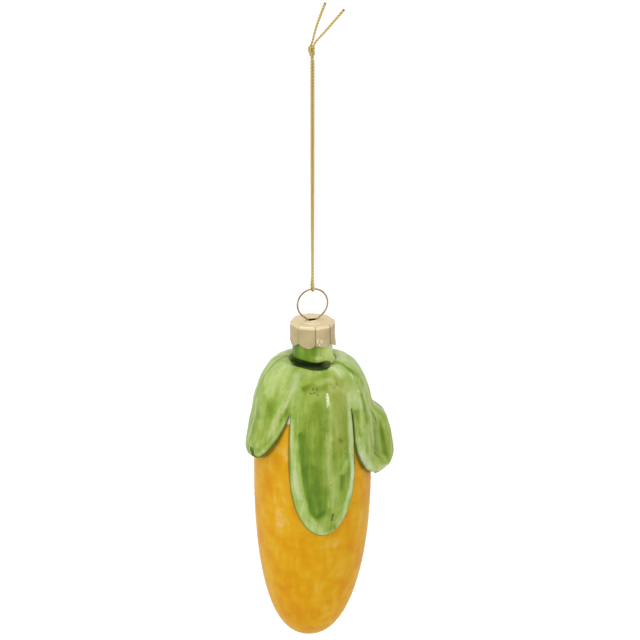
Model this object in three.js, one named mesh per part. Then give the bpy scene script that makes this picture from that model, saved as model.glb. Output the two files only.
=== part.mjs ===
// Glass corn cob ornament, hanging on a loop of thin gold cord.
// Millimetres, +Z up. The origin is the place where the loop is hung up, just under its knot.
// The front faces -Y. An azimuth is an angle in degrees, turned from the front towards +X.

import * as THREE from 'three';
import { mergeVertices } from 'three/addons/utils/BufferGeometryUtils.js';

// Gaps
const seat_gap = 0.3; // between pieces that touch on the real ornament
const leaf_split = 0.3; // between neighbouring husk leaves

// Cord
const cord_diameter = 0.7;
const cord_sides = 8;
const knot_height = 5.2;
const knot_radius = 1.35;

// Wire hanger: a ring with two spring legs that press inside the neck
const wire_diameter = 0.6;
const ring_diameter = 12; // outside, across the ring
const ring_drop = 12.3; // from the ring's top to the cap's top
const hanger_turn = 17; // how far the ring stands turned, in degrees about Z
const leg_length = 18; // below the cap's top
const pinch = 1.6; // from the middle to each leg where they pass the cap

// Foil cap
const cap_sheet = 0.35;
const cap_height = 8.6;
const cap_corner = 0.8;
const petal_count = 8;
const petal_turn = 7.5; // azimuth of one groove between two petals
const petal_notch = 1.7; // how far the hem rises at a groove
const petal_flare = 0.3; // how far the hem stands out
const groove_depth = 0.35;
const cap_hole_radius = 2.3;
const boss_radius = 4.3;
const boss_height = 0.25;

// Glass: neck, shoulder and cob
const neck_radius = 7.25;
const neck_wall = 1.1;
const neck_length = 15.7; // from the mouth to the shoulder
const neck_fillet = 1.2;
const cob_radius = 21.3;
const crown_height = 38; // from the shoulder to the widest place
const taper_height = 66.4; // from the widest place to the tip
const tip_lean = 1.1; // how far the tip sits to the left
const glass_wall = 0.9;
const crown_side_power = 2.6; // these four powers set how full the two superellipse arcs are
const crown_top_power = 2.8;
const taper_side_power = 2.4;
const taper_end_power = 2.2;

// Kernels
const kernel_rows = 26; // rows side by side round the cob
const kernel_pitch = 3.2; // along a row
const kernel_depth = 0.35; // of the valleys between kernels
const kernel_start = 20; // along the cob from the shoulder

// Husk leaves. Lengths run along the cob from the shoulder, azimuths in degrees. A leaf's round
// end starts round_end before its tip, and tip_at says where the tip lies across the leaf, from
// -1 to 1. A side_power of 2 gives the round end upright sides, and 1 slanting ones. The leaf
// bulges off the glass by bulge: a share of it, sudden, within the onset, and the rest evenly up
// to the peak. The bulge is fullest across the leaf at bulge_at.
const leaf_middle = 1.4; // thickness
const leaf_edge = 0.6;
const root_hump = 0.5; // extra thickness where the leaves turn down over the shoulder
const rib_height = 0.35; // lengthwise waves on the leaves
const rib_count = 3; // waves across a leaf
const root_slope = 3; // how far along the leaves reach their full thickness
const hump_middle = 5; // how far along the hump is highest
const hump_reach = 9;
const bulge_hollow = 0.85; // share of a bulge that is hollow under the leaf
const even = { tip_at: 0, side_power: 2, bulge_at: 0, sudden: 0, onset: 1 };
const husk_leaves = {
  front_leaf: { ...even, from: -22, to: 44.5, length: 65, round_end: 27, bulge: 0.5, start: 15, peak: 45 },
  right_leaf: {
    ...even, from: 44.5, to: 79, length: 45.9, round_end: 16, tip_at: 1, bulge: 0.6, start: 15, peak: 38,
  },
  right_rear_leaf: {
    from: 79, to: 140, length: 47.3, round_end: 15, tip_at: -0.7, side_power: 1.5,
    bulge: 6.6, start: 20.3, peak: 38, bulge_at: -0.35, sudden: 0.58, onset: 3.2,
  },
  back_leaf: { ...even, from: 140, to: 212, length: 61, round_end: 25, bulge: 0.5, start: 15, peak: 42 },
  left_rear_leaf: { ...even, from: 212, to: 256, length: 44, round_end: 10, bulge: 1.4, start: 16, peak: 36 },
  left_leaf: {
    ...even, from: 256, to: 338, length: 38.6, round_end: 19.5, side_power: 1.1,
    bulge: 2.2, start: 15, peak: 32,
  },
};

// Mesh fineness
const kernel_columns = 2 * kernel_rows; // one line of points on each crest and one in each valley
const cap_columns = 6 * petal_count;
const leaf_rows = 16;
const leaf_columns = 8;
const wire_sides = 6;
const wire_steps = 72;
const knot_sides = 12;

// The cord's route, chosen by hand. Each strand runs down from the knot, and the bight turns
// under the ring. The front strand is the back one turned half way round Z.
const strand_route = [
  [-0.42, 0, 0.3], [-0.42, 0, -6], [-0.42, 0.01, -14], [-0.42, 0.03, -22], [-0.41, 0.07, -30],
  [-0.4, 0.12, -38], [-0.38, 0.18, -46], [-0.35, 0.24, -54], [-0.3, 0.3, -62], [-0.24, 0.35, -69],
  [-0.18, 0.38, -75], [-0.14, 0.4, -80], [-0.14, 0.46, -83], [-0.21, 0.7, -84.8], [-0.32, 1.04, -86],
];
const bight_route = [
  [-0.38, 1.26, -86.5], [-0.43, 1.4, -87.1], [-0.44, 1.43, -87.7], [-0.41, 1.33, -88.3], [-0.31, 1.02, -88.8],
  [-0.17, 0.56, -89.1], [0, 0, -89.2], [0.17, -0.56, -89.1], [0.31, -1.02, -88.8], [0.41, -1.33, -88.3],
  [0.44, -1.43, -87.7], [0.43, -1.4, -87.1], [0.38, -1.26, -86.5],
];
const left_tail_route = [
  [0, 0.3, 6.2], [0.45, 0.32, 8.4], [1.4, 0.3, 12], [2.8, 0.2, 16.2], [4.6, 0, 21.2],
];
const right_tail_route = [
  [0.75, -0.45, 6.1], [2.3, -0.5, 7.9], [5.3, -0.5, 11.4], [8.3, -0.3, 15], [11.4, 0, 18.7],
];
const strand_steps = 28;
const bight_steps = 12;
const tail_steps = 6;

// Places that follow from the sizes
const cord_radius = cord_diameter / 2;
const wire_radius = wire_diameter / 2;
const bight_low = Math.min(...bight_route.map((point) => point[2]));
const ring_top = bight_low + cord_radius + seat_gap + wire_radius; // middle of the ring's top wire
const ring_radius = (ring_diameter - wire_diameter) / 2;
const ring_middle = ring_top - ring_radius;
const cap_top = ring_top + wire_radius - ring_drop;
const cap_under = cap_top - cap_sheet;
const cap_radius = neck_radius + seat_gap + groove_depth + cap_sheet;
const mouth_z = cap_under - seat_gap;
const bore_radius = neck_radius - neck_wall;
const shoulder_z = mouth_z - neck_length;
const shoulder_radius = neck_radius + neck_fillet;
const widest_z = shoulder_z - crown_height;

const radians = THREE.MathUtils.degToRad;

function smooth(value) {
  const clamped = Math.min(1, Math.max(0, value));
  return clamped * clamped * (3 - 2 * clamped);
}

// Joins a list of rings into one closed body. A ring with one point is a pole. Where neither end
// is a pole, the last ring joins the first.
function loft(rings) {
  const points = [];
  const starts = rings.map((ring) => {
    const start = points.length;
    points.push(...ring);
    return start;
  });
  const triangles = [];
  const ends_in_poles = rings[0].length === 1;
  const joins = ends_in_poles ? rings.length - 1 : rings.length;
  for (let i = 0; i < joins; i += 1) {
    const next = (i + 1) % rings.length;
    const count = Math.max(rings[i].length, rings[next].length);
    for (let j = 0; j < count; j += 1) {
      const after = (j + 1) % count;
      const a = starts[i] + (rings[i].length > 1 ? j : 0);
      const b = starts[i] + (rings[i].length > 1 ? after : 0);
      const c = starts[next] + (rings[next].length > 1 ? after : 0);
      const d = starts[next] + (rings[next].length > 1 ? j : 0);
      if (a !== b) triangles.push(a, c, b);
      if (c !== d) triangles.push(a, d, c);
    }
  }
  return solidGeometry(points, triangles);
}

// A closed body between two sheets of points with the same rows and columns.
function slab(outer, inner) {
  const rows = outer.length;
  const columns = outer[0].length;
  const points = [...outer.flat(), ...inner.flat()];
  const offset = rows * columns;
  const at = (row, column) => row * columns + column;
  const triangles = [];
  const quad = (a, b, c, d) => triangles.push(a, b, c, a, c, d);
  for (let i = 0; i + 1 < rows; i += 1) {
    for (let j = 0; j + 1 < columns; j += 1) {
      quad(at(i, j), at(i + 1, j), at(i + 1, j + 1), at(i, j + 1));
      quad(offset + at(i, j), offset + at(i, j + 1), offset + at(i + 1, j + 1), offset + at(i + 1, j));
    }
    const last = columns - 1;
    quad(at(i, 0), offset + at(i, 0), offset + at(i + 1, 0), at(i + 1, 0));
    quad(at(i, last), at(i + 1, last), offset + at(i + 1, last), offset + at(i, last));
  }
  for (let j = 0; j + 1 < columns; j += 1) {
    const last = rows - 1;
    quad(at(0, j), at(0, j + 1), offset + at(0, j + 1), offset + at(0, j));
    quad(at(last, j), offset + at(last, j), offset + at(last, j + 1), at(last, j + 1));
  }
  return solidGeometry(points, triangles);
}

function solidGeometry(points, triangles) {
  const geometry = new THREE.BufferGeometry();
  geometry.setAttribute('position', new THREE.Float32BufferAttribute(points.flat(), 3));
  geometry.setIndex(triangles);
  geometry.computeVertexNormals();
  return geometry;
}

// A round tube with closed ends along a smooth curve.
function tube(curve, radius, sides, steps) {
  const corners = [];
  for (let i = 0; i < sides; i += 1) {
    const angle = (2 * Math.PI * i) / sides;
    corners.push(new THREE.Vector2(radius * Math.cos(angle), radius * Math.sin(angle)));
  }
  const section = new THREE.Shape(corners);
  return new THREE.ExtrudeGeometry(section, { steps, extrudePath: curve, bevelEnabled: false });
}

// The side view of the glass from the shoulder down to the tip, as two superellipse arcs.
const outline = (() => {
  const fineness = 400;
  const places = [];
  for (let i = 0; i <= fineness; i += 1) {
    const angle = (Math.PI / 2) * (i / fineness);
    const out = (cob_radius - shoulder_radius) * Math.sin(angle) ** (2 / crown_side_power);
    const down = crown_height * (1 - Math.cos(angle) ** (2 / crown_top_power));
    places.push({ r: shoulder_radius + out, z: shoulder_z - down });
  }
  for (let i = 1; i <= fineness; i += 1) {
    const angle = (Math.PI / 2) * (i / fineness);
    const r = cob_radius * Math.max(0, Math.cos(angle)) ** (2 / taper_side_power);
    places.push({ r, z: widest_z - taper_height * Math.sin(angle) ** (2 / taper_end_power) });
  }
  places[0].along = 0;
  for (let i = 1; i < places.length; i += 1) {
    const step = Math.hypot(places[i].r - places[i - 1].r, places[i].z - places[i - 1].z);
    places[i].along = places[i - 1].along + step;
  }
  return places;
})();
const outline_length = outline[outline.length - 1].along;

// Radius, height and outward direction of the glass at a length along its outline.
function outlineAt(along) {
  let i = 1;
  while (i < outline.length - 1 && outline[i].along < along) i += 1;
  const before = outline[i - 1];
  const after = outline[i];
  const share = (along - before.along) / (after.along - before.along);
  const step = after.along - before.along;
  return {
    r: before.r + share * (after.r - before.r),
    z: before.z + share * (after.z - before.z),
    out_r: (before.z - after.z) / step,
    out_z: (after.r - before.r) / step,
  };
}

function leanAt(z) {
  const depth = Math.max(0, (widest_z - z) / taper_height);
  return -tip_lean * depth * depth;
}

function roundPoint(radius, azimuth, z, shift = 0) {
  return [radius * Math.sin(azimuth) + shift, -radius * Math.cos(azimuth), z];
}

// A point on the glass, or so far off its surface.
function glassPoint(along, azimuth, off) {
  const place = outlineAt(along);
  const radius = Math.max(0, place.r + place.out_r * off);
  return roundPoint(radius, azimuth, place.z + place.out_z * off, leanAt(place.z));
}

function ringOf(count, pointAt) {
  return Array.from({ length: count }, (_, i) => pointAt((2 * Math.PI * i) / count, i));
}

// Glass body: a hollow neck and cob in one wall, with kernels in low relief.
function glassBody() {
  const inner_off = -(kernel_depth + glass_wall);
  const inner_step = 7; // between the rings of the inside
  const rings = [];
  const tip = outlineAt(outline_length);
  rings.push([[leanAt(tip.z), 0, tip.z - inner_off]]);
  const inner_end = outline_length - inner_step;
  const inner_start = 2.5; // where the inside leaves the neck's bore
  const inner_count = Math.round((inner_end - inner_start) / inner_step);
  for (let i = 0; i <= inner_count; i += 1) {
    const along = inner_end + ((inner_start - inner_end) * i) / inner_count;
    rings.push(ringOf(kernel_columns, (azimuth) => glassPoint(along, azimuth, inner_off)));
  }
  const plain = (radius, z) => ringOf(kernel_columns, (azimuth) => roundPoint(radius, azimuth, z));
  rings.push(plain(bore_radius, shoulder_z - neck_fillet));
  rings.push(plain(bore_radius, mouth_z));
  rings.push(plain(neck_radius, mouth_z));
  const fillet_steps = 3;
  for (let i = 0; i < fillet_steps; i += 1) {
    const angle = ((Math.PI / 2) * i) / fillet_steps;
    const radius = shoulder_radius - neck_fillet * Math.cos(angle);
    rings.push(plain(radius, shoulder_z + neck_fillet * (1 - Math.sin(angle))));
  }
  const crown_steps = 5;
  for (let i = 0; i < crown_steps; i += 1) {
    const along = (kernel_start * i) / crown_steps;
    rings.push(ringOf(kernel_columns, (azimuth) => glassPoint(along, azimuth, 0)));
  }
  const relief_rows = Math.floor((outline_length - kernel_start) / (kernel_pitch / 2));
  for (let row = 0; row < relief_rows; row += 1) {
    const along = kernel_start + (row * kernel_pitch) / 2;
    rings.push(ringOf(kernel_columns, (azimuth, column) => {
      const valleys = (row % 2 === 0 ? 0.5 : 0) + (column % 2 === 0 ? 0.5 : 0);
      return glassPoint(along, azimuth, -kernel_depth * valleys);
    }));
  }
  rings.push([[leanAt(tip.z), 0, tip.z]]);
  return loft(rings);
}

// One husk leaf: a curved shell that lies on the glass, thinner at its round edge, and bulges
// away from the glass where the leaf stands out.
function huskLeaf(leaf) {
  const middle = radians((leaf.from + leaf.to) / 2);
  const half = radians((leaf.to - leaf.from) / 2);
  const outer = [];
  const inner = [];
  for (let i = 0; i <= leaf_rows; i += 1) {
    const share = i / leaf_rows;
    const outer_row = [];
    const inner_row = [];
    for (let j = 0; j <= leaf_columns; j += 1) {
      const across = Math.sin((Math.PI / 2) * ((2 * j) / leaf_columns - 1));
      const aside = Math.abs(across - leaf.tip_at) / (1 + Math.abs(leaf.tip_at));
      const round_off = 1 - (1 - aside ** 2) ** (1 / leaf.side_power);
      const along = share * (leaf.length - leaf.round_end * round_off);
      const azimuth = middle + across * (half - Math.asin(leaf_split / 2 / outlineAt(along).r));
      const stand = bulgeOf(leaf, along, across);
      const rim = (1 - across ** 4) * (1 - share ** 10) * smooth(along / root_slope);
      const wave = Math.cos(across * Math.PI * rib_count);
      const rib = rib_height * wave * rim * smooth(along / (2 * hump_reach));
      const hump = root_hump * rim * Math.max(0, 1 - Math.abs(along - hump_middle) / hump_reach);
      const thickness = leaf_edge + (leaf_middle - leaf_edge) * rim + hump + rib;
      outer_row.push(glassPoint(along, azimuth, seat_gap + thickness + stand));
      inner_row.push(glassPoint(along, azimuth, seat_gap + stand * bulge_hollow));
    }
    outer.push(outer_row);
    inner.push(inner_row);
  }
  return slab(outer, inner);
}

// How far a leaf stands off the glass at a length along it and a place across it.
function bulgeOf({ length, bulge, start, peak, bulge_at, sudden, onset }, along, across) {
  const even_climb = smooth((along - start) / (peak - start));
  const climb = sudden * smooth((along - start) / onset) + (1 - sudden) * even_climb;
  const past_peak = Math.min(1, Math.max(0, (along - peak) / (length - peak)));
  const aside = Math.abs(across - bulge_at) / (1 + Math.abs(bulge_at));
  const crest = Math.max(0, 1 - aside ** 3) * (1 - across ** 8);
  return bulge * climb * Math.sqrt(1 - past_peak ** 2) * crest;
}

// Foil cap: a thin cup with a fluted, scalloped skirt and a raised middle with a round hole.
function capShell() {
  const hem_z = cap_top - cap_height;
  const corner_cut = 0.3 * cap_corner; // keeps the rounded corner full
  const outside = [
    { r: cap_hole_radius, z: cap_top + boss_height, hem: 0 },
    { r: boss_radius - boss_height, z: cap_top + boss_height, hem: 0 },
    { r: boss_radius, z: cap_top, hem: 0 },
    { r: cap_radius - cap_corner, z: cap_top, hem: 0 },
    { r: cap_radius - corner_cut, z: cap_top - corner_cut, hem: 0 },
    { r: cap_radius, z: cap_top - cap_corner, hem: 0 },
    { r: cap_radius, z: (cap_top + hem_z) / 2, hem: 0.5 },
    { r: cap_radius, z: hem_z, hem: 1 },
  ];
  const inside_radius = cap_radius - cap_sheet;
  const inside = [
    { r: inside_radius, z: hem_z, hem: 1 },
    { r: inside_radius, z: (cap_top + hem_z) / 2, hem: 0.5 },
    { r: inside_radius, z: cap_top - cap_corner, hem: 0 },
    { r: inside_radius - corner_cut, z: cap_under, hem: 0 },
    { r: cap_hole_radius, z: cap_under, hem: 0 },
  ];
  const rings = [...outside, ...inside].map(({ r, z, hem }) => ringOf(cap_columns, (azimuth) => {
    const groove = 1 - Math.abs(Math.sin((petal_count / 2) * (azimuth - radians(petal_turn))));
    const fluted = Math.min(1, 2 * hem) * groove_depth * groove;
    const radius = r - fluted + petal_flare * hem * (1 - groove);
    return roundPoint(radius, azimuth, z + hem * petal_notch * groove * groove);
  }));
  return loft(rings);
}

// Wire hanger: one wire, up one leg, round the ring and down the other leg.
function hangerWire() {
  const arc_steps = 12; // points on half the ring
  const leg_spread = bore_radius - wire_radius - seat_gap;
  const leg_end = cap_top - leg_length;
  const reach = Math.hypot(pinch, ring_middle - cap_top);
  const leave = Math.atan2(pinch, ring_middle - cap_top) + Math.acos(ring_radius / reach);
  const half_path = [
    new THREE.Vector3(leg_spread, 0, leg_end),
    new THREE.Vector3((leg_spread + pinch) / 2, 0, (leg_end + cap_under) / 2),
    new THREE.Vector3(pinch, 0, cap_under - wire_diameter),
    new THREE.Vector3(pinch, 0, cap_top),
  ];
  for (let i = 0; i < arc_steps; i += 1) {
    const angle = leave + ((Math.PI - leave) * i) / arc_steps;
    const x = ring_radius * Math.sin(angle);
    half_path.push(new THREE.Vector3(x, 0, ring_middle - ring_radius * Math.cos(angle)));
  }
  const other_half = half_path.map((point) => new THREE.Vector3(-point.x, 0, point.z)).reverse();
  const path = [...half_path, new THREE.Vector3(0, 0, ring_top), ...other_half];
  return tube(new THREE.CatmullRomCurve3(path, false, 'centripetal'), wire_radius, wire_sides, wire_steps);
}

// Cord knot: a plain lump of the knot's size, as shares of its radius and height.
function cordKnot() {
  const lower = strand_route[0][2] + seat_gap;
  const shares = [[0, 0], [0.62, 0], [0.93, 0.25], [1, 0.55], [0.93, 0.8], [0.62, 1], [0, 1]];
  const profile = shares.map(([out, up]) => new THREE.Vector2(out * knot_radius, lower + up * knot_height));
  const geometry = new THREE.LatheGeometry(profile, knot_sides);
  geometry.rotateX(Math.PI / 2);
  geometry.deleteAttribute('normal');
  geometry.deleteAttribute('uv');
  return mergeVertices(geometry);
}

function routeCurve(route) {
  return new THREE.CatmullRomCurve3(route.map((point) => new THREE.Vector3(...point)), false, 'centripetal');
}

function cordTube(route, steps) {
  return tube(routeCurve(route), cord_radius, cord_sides, steps);
}

const gold_cord = { color: 0xc09a4a, roughness: 0.45, metalness: 0.6 };
const gold_wire = { color: 0xa98a4e, roughness: 0.3, metalness: 1 };
const foil = { color: 0xd9c79c, roughness: 0.35, metalness: 0.8 };
const corn_glass = { color: 0xd99f1f, roughness: 0.25, metalness: 0 };
const husk_glass = { color: 0x8fb050, roughness: 0.15, metalness: 0 };

const group = new THREE.Group();

function addPiece(name, geometry, finish) {
  const mesh = new THREE.Mesh(geometry, new THREE.MeshStandardMaterial(finish));
  mesh.name = name;
  group.add(mesh);
  return mesh;
}

addPiece('cord_strand_back', cordTube(strand_route, strand_steps), gold_cord);
addPiece('cord_strand_front', cordTube(strand_route, strand_steps), gold_cord).rotation.z = Math.PI;
addPiece('cord_bight', cordTube(bight_route, bight_steps), gold_cord);
addPiece('cord_knot', cordKnot(), gold_cord);
addPiece('cord_tail_left', cordTube(left_tail_route, tail_steps), gold_cord);
addPiece('cord_tail_right', cordTube(right_tail_route, tail_steps), gold_cord);
addPiece('hanger_wire', hangerWire(), gold_wire).rotation.z = radians(hanger_turn);
addPiece('cap', capShell(), foil);
addPiece('glass_body', glassBody(), corn_glass);
for (const [name, leaf] of Object.entries(husk_leaves)) {
  addPiece(name, huskLeaf(leaf), husk_glass);
}

export default group;
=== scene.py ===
"""Glass corn cob ornament on a loop of thin gold cord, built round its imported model.

Metres, +Z up. The front faces -Y. An azimuth is an angle in degrees, turned from the front
towards +X. "Along" is a length on the glass, measured from its shoulder down to its tip.
"""

import math

import bpy
import numpy as np
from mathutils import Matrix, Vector


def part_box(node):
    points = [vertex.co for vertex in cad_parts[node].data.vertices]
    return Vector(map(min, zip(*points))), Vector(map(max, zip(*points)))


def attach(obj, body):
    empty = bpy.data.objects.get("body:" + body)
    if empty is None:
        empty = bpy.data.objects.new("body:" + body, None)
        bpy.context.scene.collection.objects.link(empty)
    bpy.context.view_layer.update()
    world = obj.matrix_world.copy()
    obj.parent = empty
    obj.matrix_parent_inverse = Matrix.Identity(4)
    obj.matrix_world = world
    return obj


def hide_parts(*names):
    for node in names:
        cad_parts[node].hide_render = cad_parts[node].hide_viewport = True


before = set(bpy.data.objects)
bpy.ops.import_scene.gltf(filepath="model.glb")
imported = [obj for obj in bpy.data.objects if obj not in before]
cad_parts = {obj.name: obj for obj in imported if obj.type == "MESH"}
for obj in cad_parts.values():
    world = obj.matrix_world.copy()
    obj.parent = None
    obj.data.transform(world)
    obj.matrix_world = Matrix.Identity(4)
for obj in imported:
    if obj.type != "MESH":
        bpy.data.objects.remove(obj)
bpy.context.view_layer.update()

MM = 0.001
wave_count = 7  # plane waves in each octave of noise

# Camera
picture_middle = Vector((2.717 * MM, 0, -100.2 * MM))
picture_width = 231.9 * MM
camera_elevation = 20
camera_distance = 6.0
sensor_width = 36
camera_reach = 60

# Cord
cord_twist = 2.4 * MM  # length of one full turn of the two plies
ply_radius = 0.335 * MM
ply_middle = 0.055 * MM  # from the cord's middle to each ply's middle
cord_step = 0.15 * MM
strand_aside = 0.88  # how close the two strands lie, against their route in the model
cord_sides = 16
tail_fray = 0.25  # how much thicker the tails are at their ends
fray_length = 14 * MM  # over which a tail grows thicker
dark_end = 0.6 * MM  # at the tails' cut ends
ease_passes = 20  # that round the kinks where two lines meet
route_steps = 24  # between two points of a route

# The cord's route, in metres, point by point as in the model's source. The strand's first point and
# the first point of each tail lie inside the knot, where they only steer the line.
strand_route = [
    (-0.00042, 0, 0.0012), (-0.00042, 0, 0.0003), (-0.00042, 0, -0.006), (-0.00042, 0.00001, -0.014),
    (-0.00042, 0.00003, -0.022), (-0.00041, 0.00007, -0.030), (-0.0004, 0.00012, -0.038),
    (-0.00038, 0.00018, -0.046), (-0.00035, 0.00024, -0.054), (-0.0003, 0.0003, -0.062),
    (-0.00024, 0.00035, -0.069), (-0.00018, 0.00038, -0.075), (-0.00014, 0.0004, -0.080),
    (-0.00014, 0.00046, -0.083), (-0.00021, 0.0007, -0.0848), (-0.00032, 0.00104, -0.086),
]
half_bight_route = [
    (-0.00038, 0.00118, -0.0865), (-0.00043, 0.0013, -0.0871), (-0.00044, 0.00132, -0.0876),
    (-0.00041, 0.00124, -0.0881), (-0.00031, 0.00096, -0.08857), (-0.00017, 0.00054, -0.08887),
    (0, 0, -0.08898),
]
left_tail_route = [
    (-0.0001, 0.0003, 0.0052), (0, 0.0003, 0.0062), (0.00045, 0.00032, 0.0084), (0.0014, 0.0003, 0.012),
    (0.0028, 0.0002, 0.0162), (0.0046, 0, 0.0212),
]
right_tail_route = [
    (0.0003, -0.0004, 0.0054), (0.00075, -0.00045, 0.0061), (0.0023, -0.0005, 0.0079),
    (0.0053, -0.0005, 0.0114), (0.0083, -0.0003, 0.015), (0.0114, 0, 0.0187),
]

# Knot: an overhand knot of both strands, pulled tight between these two heights
knot_low = -0.7 * MM
knot_high = 6.9 * MM
knot_middle = 3.1 * MM
knot_turn = 75  # degrees about Z
knot_length = 19.4 * MM  # of each strand inside it
knot_spacing = 0.76 * MM  # between the middles of two strands that touch
knot_reach = 0.98 * MM  # from the knot's axis to the middle of its outermost strand
knot_aside = -0.35 * MM  # of that axis, from the middle of the cord
knot_top = 5.8 * MM
knot_points = 60
knot_rounds = 900
knot_passes = 4  # of spacing and pushing apart in each round
wide_reach = 2.25  # of the wide knot's parameter, to both sides
wide_width = 0.62 * MM  # of the wide knot, for each unit of its curve
wide_height = 0.27 * MM
wide_apart = 0.55  # from the wide knot's middle line to each strand, in spacings
side_passes = 30  # that smooth the side on which each strand lies
cord_stiffness = 0.12
tight_at = 0.7  # share of the rounds after which the strands have their final length
early_pull = 0.05  # how fast the ends go to their places in the first half of the rounds
near_reach = 1.6  # in spacings: nearer points of one strand don't push each other
squeeze_room = 2.5 * MM  # how much wider the knot may be at first
squeeze_fade = 0.8 * MM  # below the knot's top
squeeze_share = 0.5

# Wire hanger
wire_radius = 0.3 * MM
ring_radius = 5.7 * MM
ring_top = -88.25 * MM  # middle of the wire at the ring's top
hanger_turn = 17
leg_length = 18 * MM
pinch = 1.6 * MM
leg_spread = 5.55 * MM
hanger_sides = 14
hanger_step = 0.2 * MM
ring_steps = 12
wire_end = 0.7  # thickness of the wire's cut ends, against the wire

# Foil cap
cap_top = -100.25 * MM
cap_sheet = 0.35 * MM
cap_radius = 8.25 * MM
cap_height = 8.6 * MM
petal_count = 8
petal_turn = 7.5
petal_notch = 1.7 * MM
petal_flare = 0.3 * MM
boss_radius = 4.3 * MM
boss_height = 0.25 * MM
hole_radius = 1.98 * MM  # inside the foil's rolled lip
lip_height = 0.6 * MM
corner_in = 0.5 * MM
corner_down = 0.75 * MM
corner_steps = 9
top_drop = 0.12 * MM
flat_step = 0.5 * MM  # how much lower a petal's middle lies than its sides
crease_depth = 0.3 * MM
flared_petal = 1
# Scratches on the foil, painted as bright glints
cap_scratches = [  # azimuth and depth below the top in mm, from one end to the other
    (12, 4.9, 13.5, 6.1), (15.5, 4.5, 16, 5.2), (20, 6.0, 25, 4.9), (26, 6.2, 28.5, 5.6),
    (18, 6.6, 19.5, 6.9),
]
scratch_width = 0.24  # in mm
petal_tips = [0.76, 0.45, 0.5, 0.4, 0.55, 0.5, 0.44, 0.62]  # where across each petal its tip lies
petal_creases = [0.75, 1.0, 0.8, 0.6, 0.9, 0.5, 0.7, 0.45]  # how deep the crease before each petal is
petal_columns = 60
crease_width = 0.035  # half width of a crease, against a petal

# The rolled lip at the cap's hole: out from the hole and up from the boss, in mm
lip_profile = [(0.05, -0.55), (0, -0.3), (0.05, -0.08), (0.25, 0.1)]
lip_foot = 0.55 * MM  # from the hole to where the flat boss starts
boss_inset = 0.35 * MM  # from the boss's radius to the end of its flat top
boss_slope = 0.5 * MM
corner_share = 0.018  # of the skirt's height, as the petals see it
skirt_rows = 40
hem_round = 0.06 * MM
hole_inside = 0.35 * MM  # how much wider the hole is in the inner surface
petal_roundness = 0.55  # 1 for round petals, 0 for pointed ones
groove_power = 1.15
flare_range = (-0.05, 0.12)  # of one petal, in mm
notch_range = (-0.15, 0.25)  # of the notch beside a petal, against the usual one
longer_range = (-0.35, 0.2)  # of one petal, in mm
dent_waves = [(31, 0.045 * MM, 4.2 * MM), (32, 0.006 * MM, 1.1 * MM)]  # seed, height and length
side_start = 1.3 * MM  # how far inside the skirt the eight sides start to show
side_fade = 1.1 * MM
flared_more = 0.6 * MM  # the flared petal
lip_width = 0.6 * MM
lip_azimuth = 0.75  # where the lip is highest, in radians

# Glass
neck_radius = 7.25 * MM
neck_wall = 1.1 * MM
neck_fillet = 1.2 * MM
neck_length = 15.7 * MM
mouth_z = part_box("glass_body")[1].z
tip_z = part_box("glass_body")[0].z
shoulder_z = mouth_z - neck_length
shoulder_radius = neck_radius + neck_fillet
cob_radius = 21.3 * MM
crown_height = 38 * MM
widest_z = shoulder_z - crown_height
taper_height = widest_z - tip_z
tip_lean = 1.4 * MM
glass_wall = 0.9 * MM
inner_room = 0.35 * MM  # more than the wall, from the outline to the inner surface
inner_off = -(inner_room + glass_wall)  # of the inner surface, from the outline
mouth_round = 0.3 * MM
flow_height = 1.2 * MM  # over which the neck's foot gets narrower
foot_reach = 4 * MM  # of the finer rings, up from the neck's foot
flow_sides = [(96, 36, 1), (265, 24, 0.5)]  # where the foot spreads: azimuth, half width, share
crown_side_power = 2.6
crown_top_power = 2.8
taper_side_power = 2.4
taper_end_power = 2.3
outline_steps = 3000
fillet_every = 30  # of those steps, on the fillet
inner_rings = 40
bore_rings = 12
neck_outer_rings = 18
foot_rings = 26
fillet_rings = 8
covered_rings = 16  # under the husk
inner_low = 3 * MM  # from the tip
inner_high = 2.5 * MM  # along
husk_covered = 15 * MM  # along, where the cob shows

# Kernels
kernel_rows = 26
kernel_pitch = 3.2 * MM
kernel_depth = 0.11 * MM
kernel_start = 20 * MM
kernel_columns = 12  # columns of points to each row of kernels
kernel_sizes = 200  # rows of random sizes
kernel_fade = 2 * MM
plain_tip = 12 * MM
cob_fine_from = 15.35 * MM  # along, where the fine rings of points start
cob_step = 0.36 * MM
tip_gap = 0.2 * MM  # from the last ring to the tip

# Brush strokes on the cob: points (azimuth, along in mm), half width in mm, value, strength
cob_strokes = [
    ([(-30, 58), (-30, 64)], 3.0, 0.95, 0.6),
    ([(-20, 74), (-18, 78)], 2.5, 0.9, 0.5),
    ([(8, 92), (16, 95)], 2.5, 0.75, 0.5),
    ([(4, 84), (10, 86)], 2.0, 0.7, 0.4),
    ([(38, 74), (32, 92)], 3.5, 0.1, 0.6),
    ([(-48, 80), (-40, 96)], 3.5, 0.12, 0.5),
    ([(-27, 26), (-26, 36)], 1.2, 0.85, 0.6),
    ([(-36, 36), (-34, 40)], 1.6, 0.0, 0.7),
]

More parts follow.
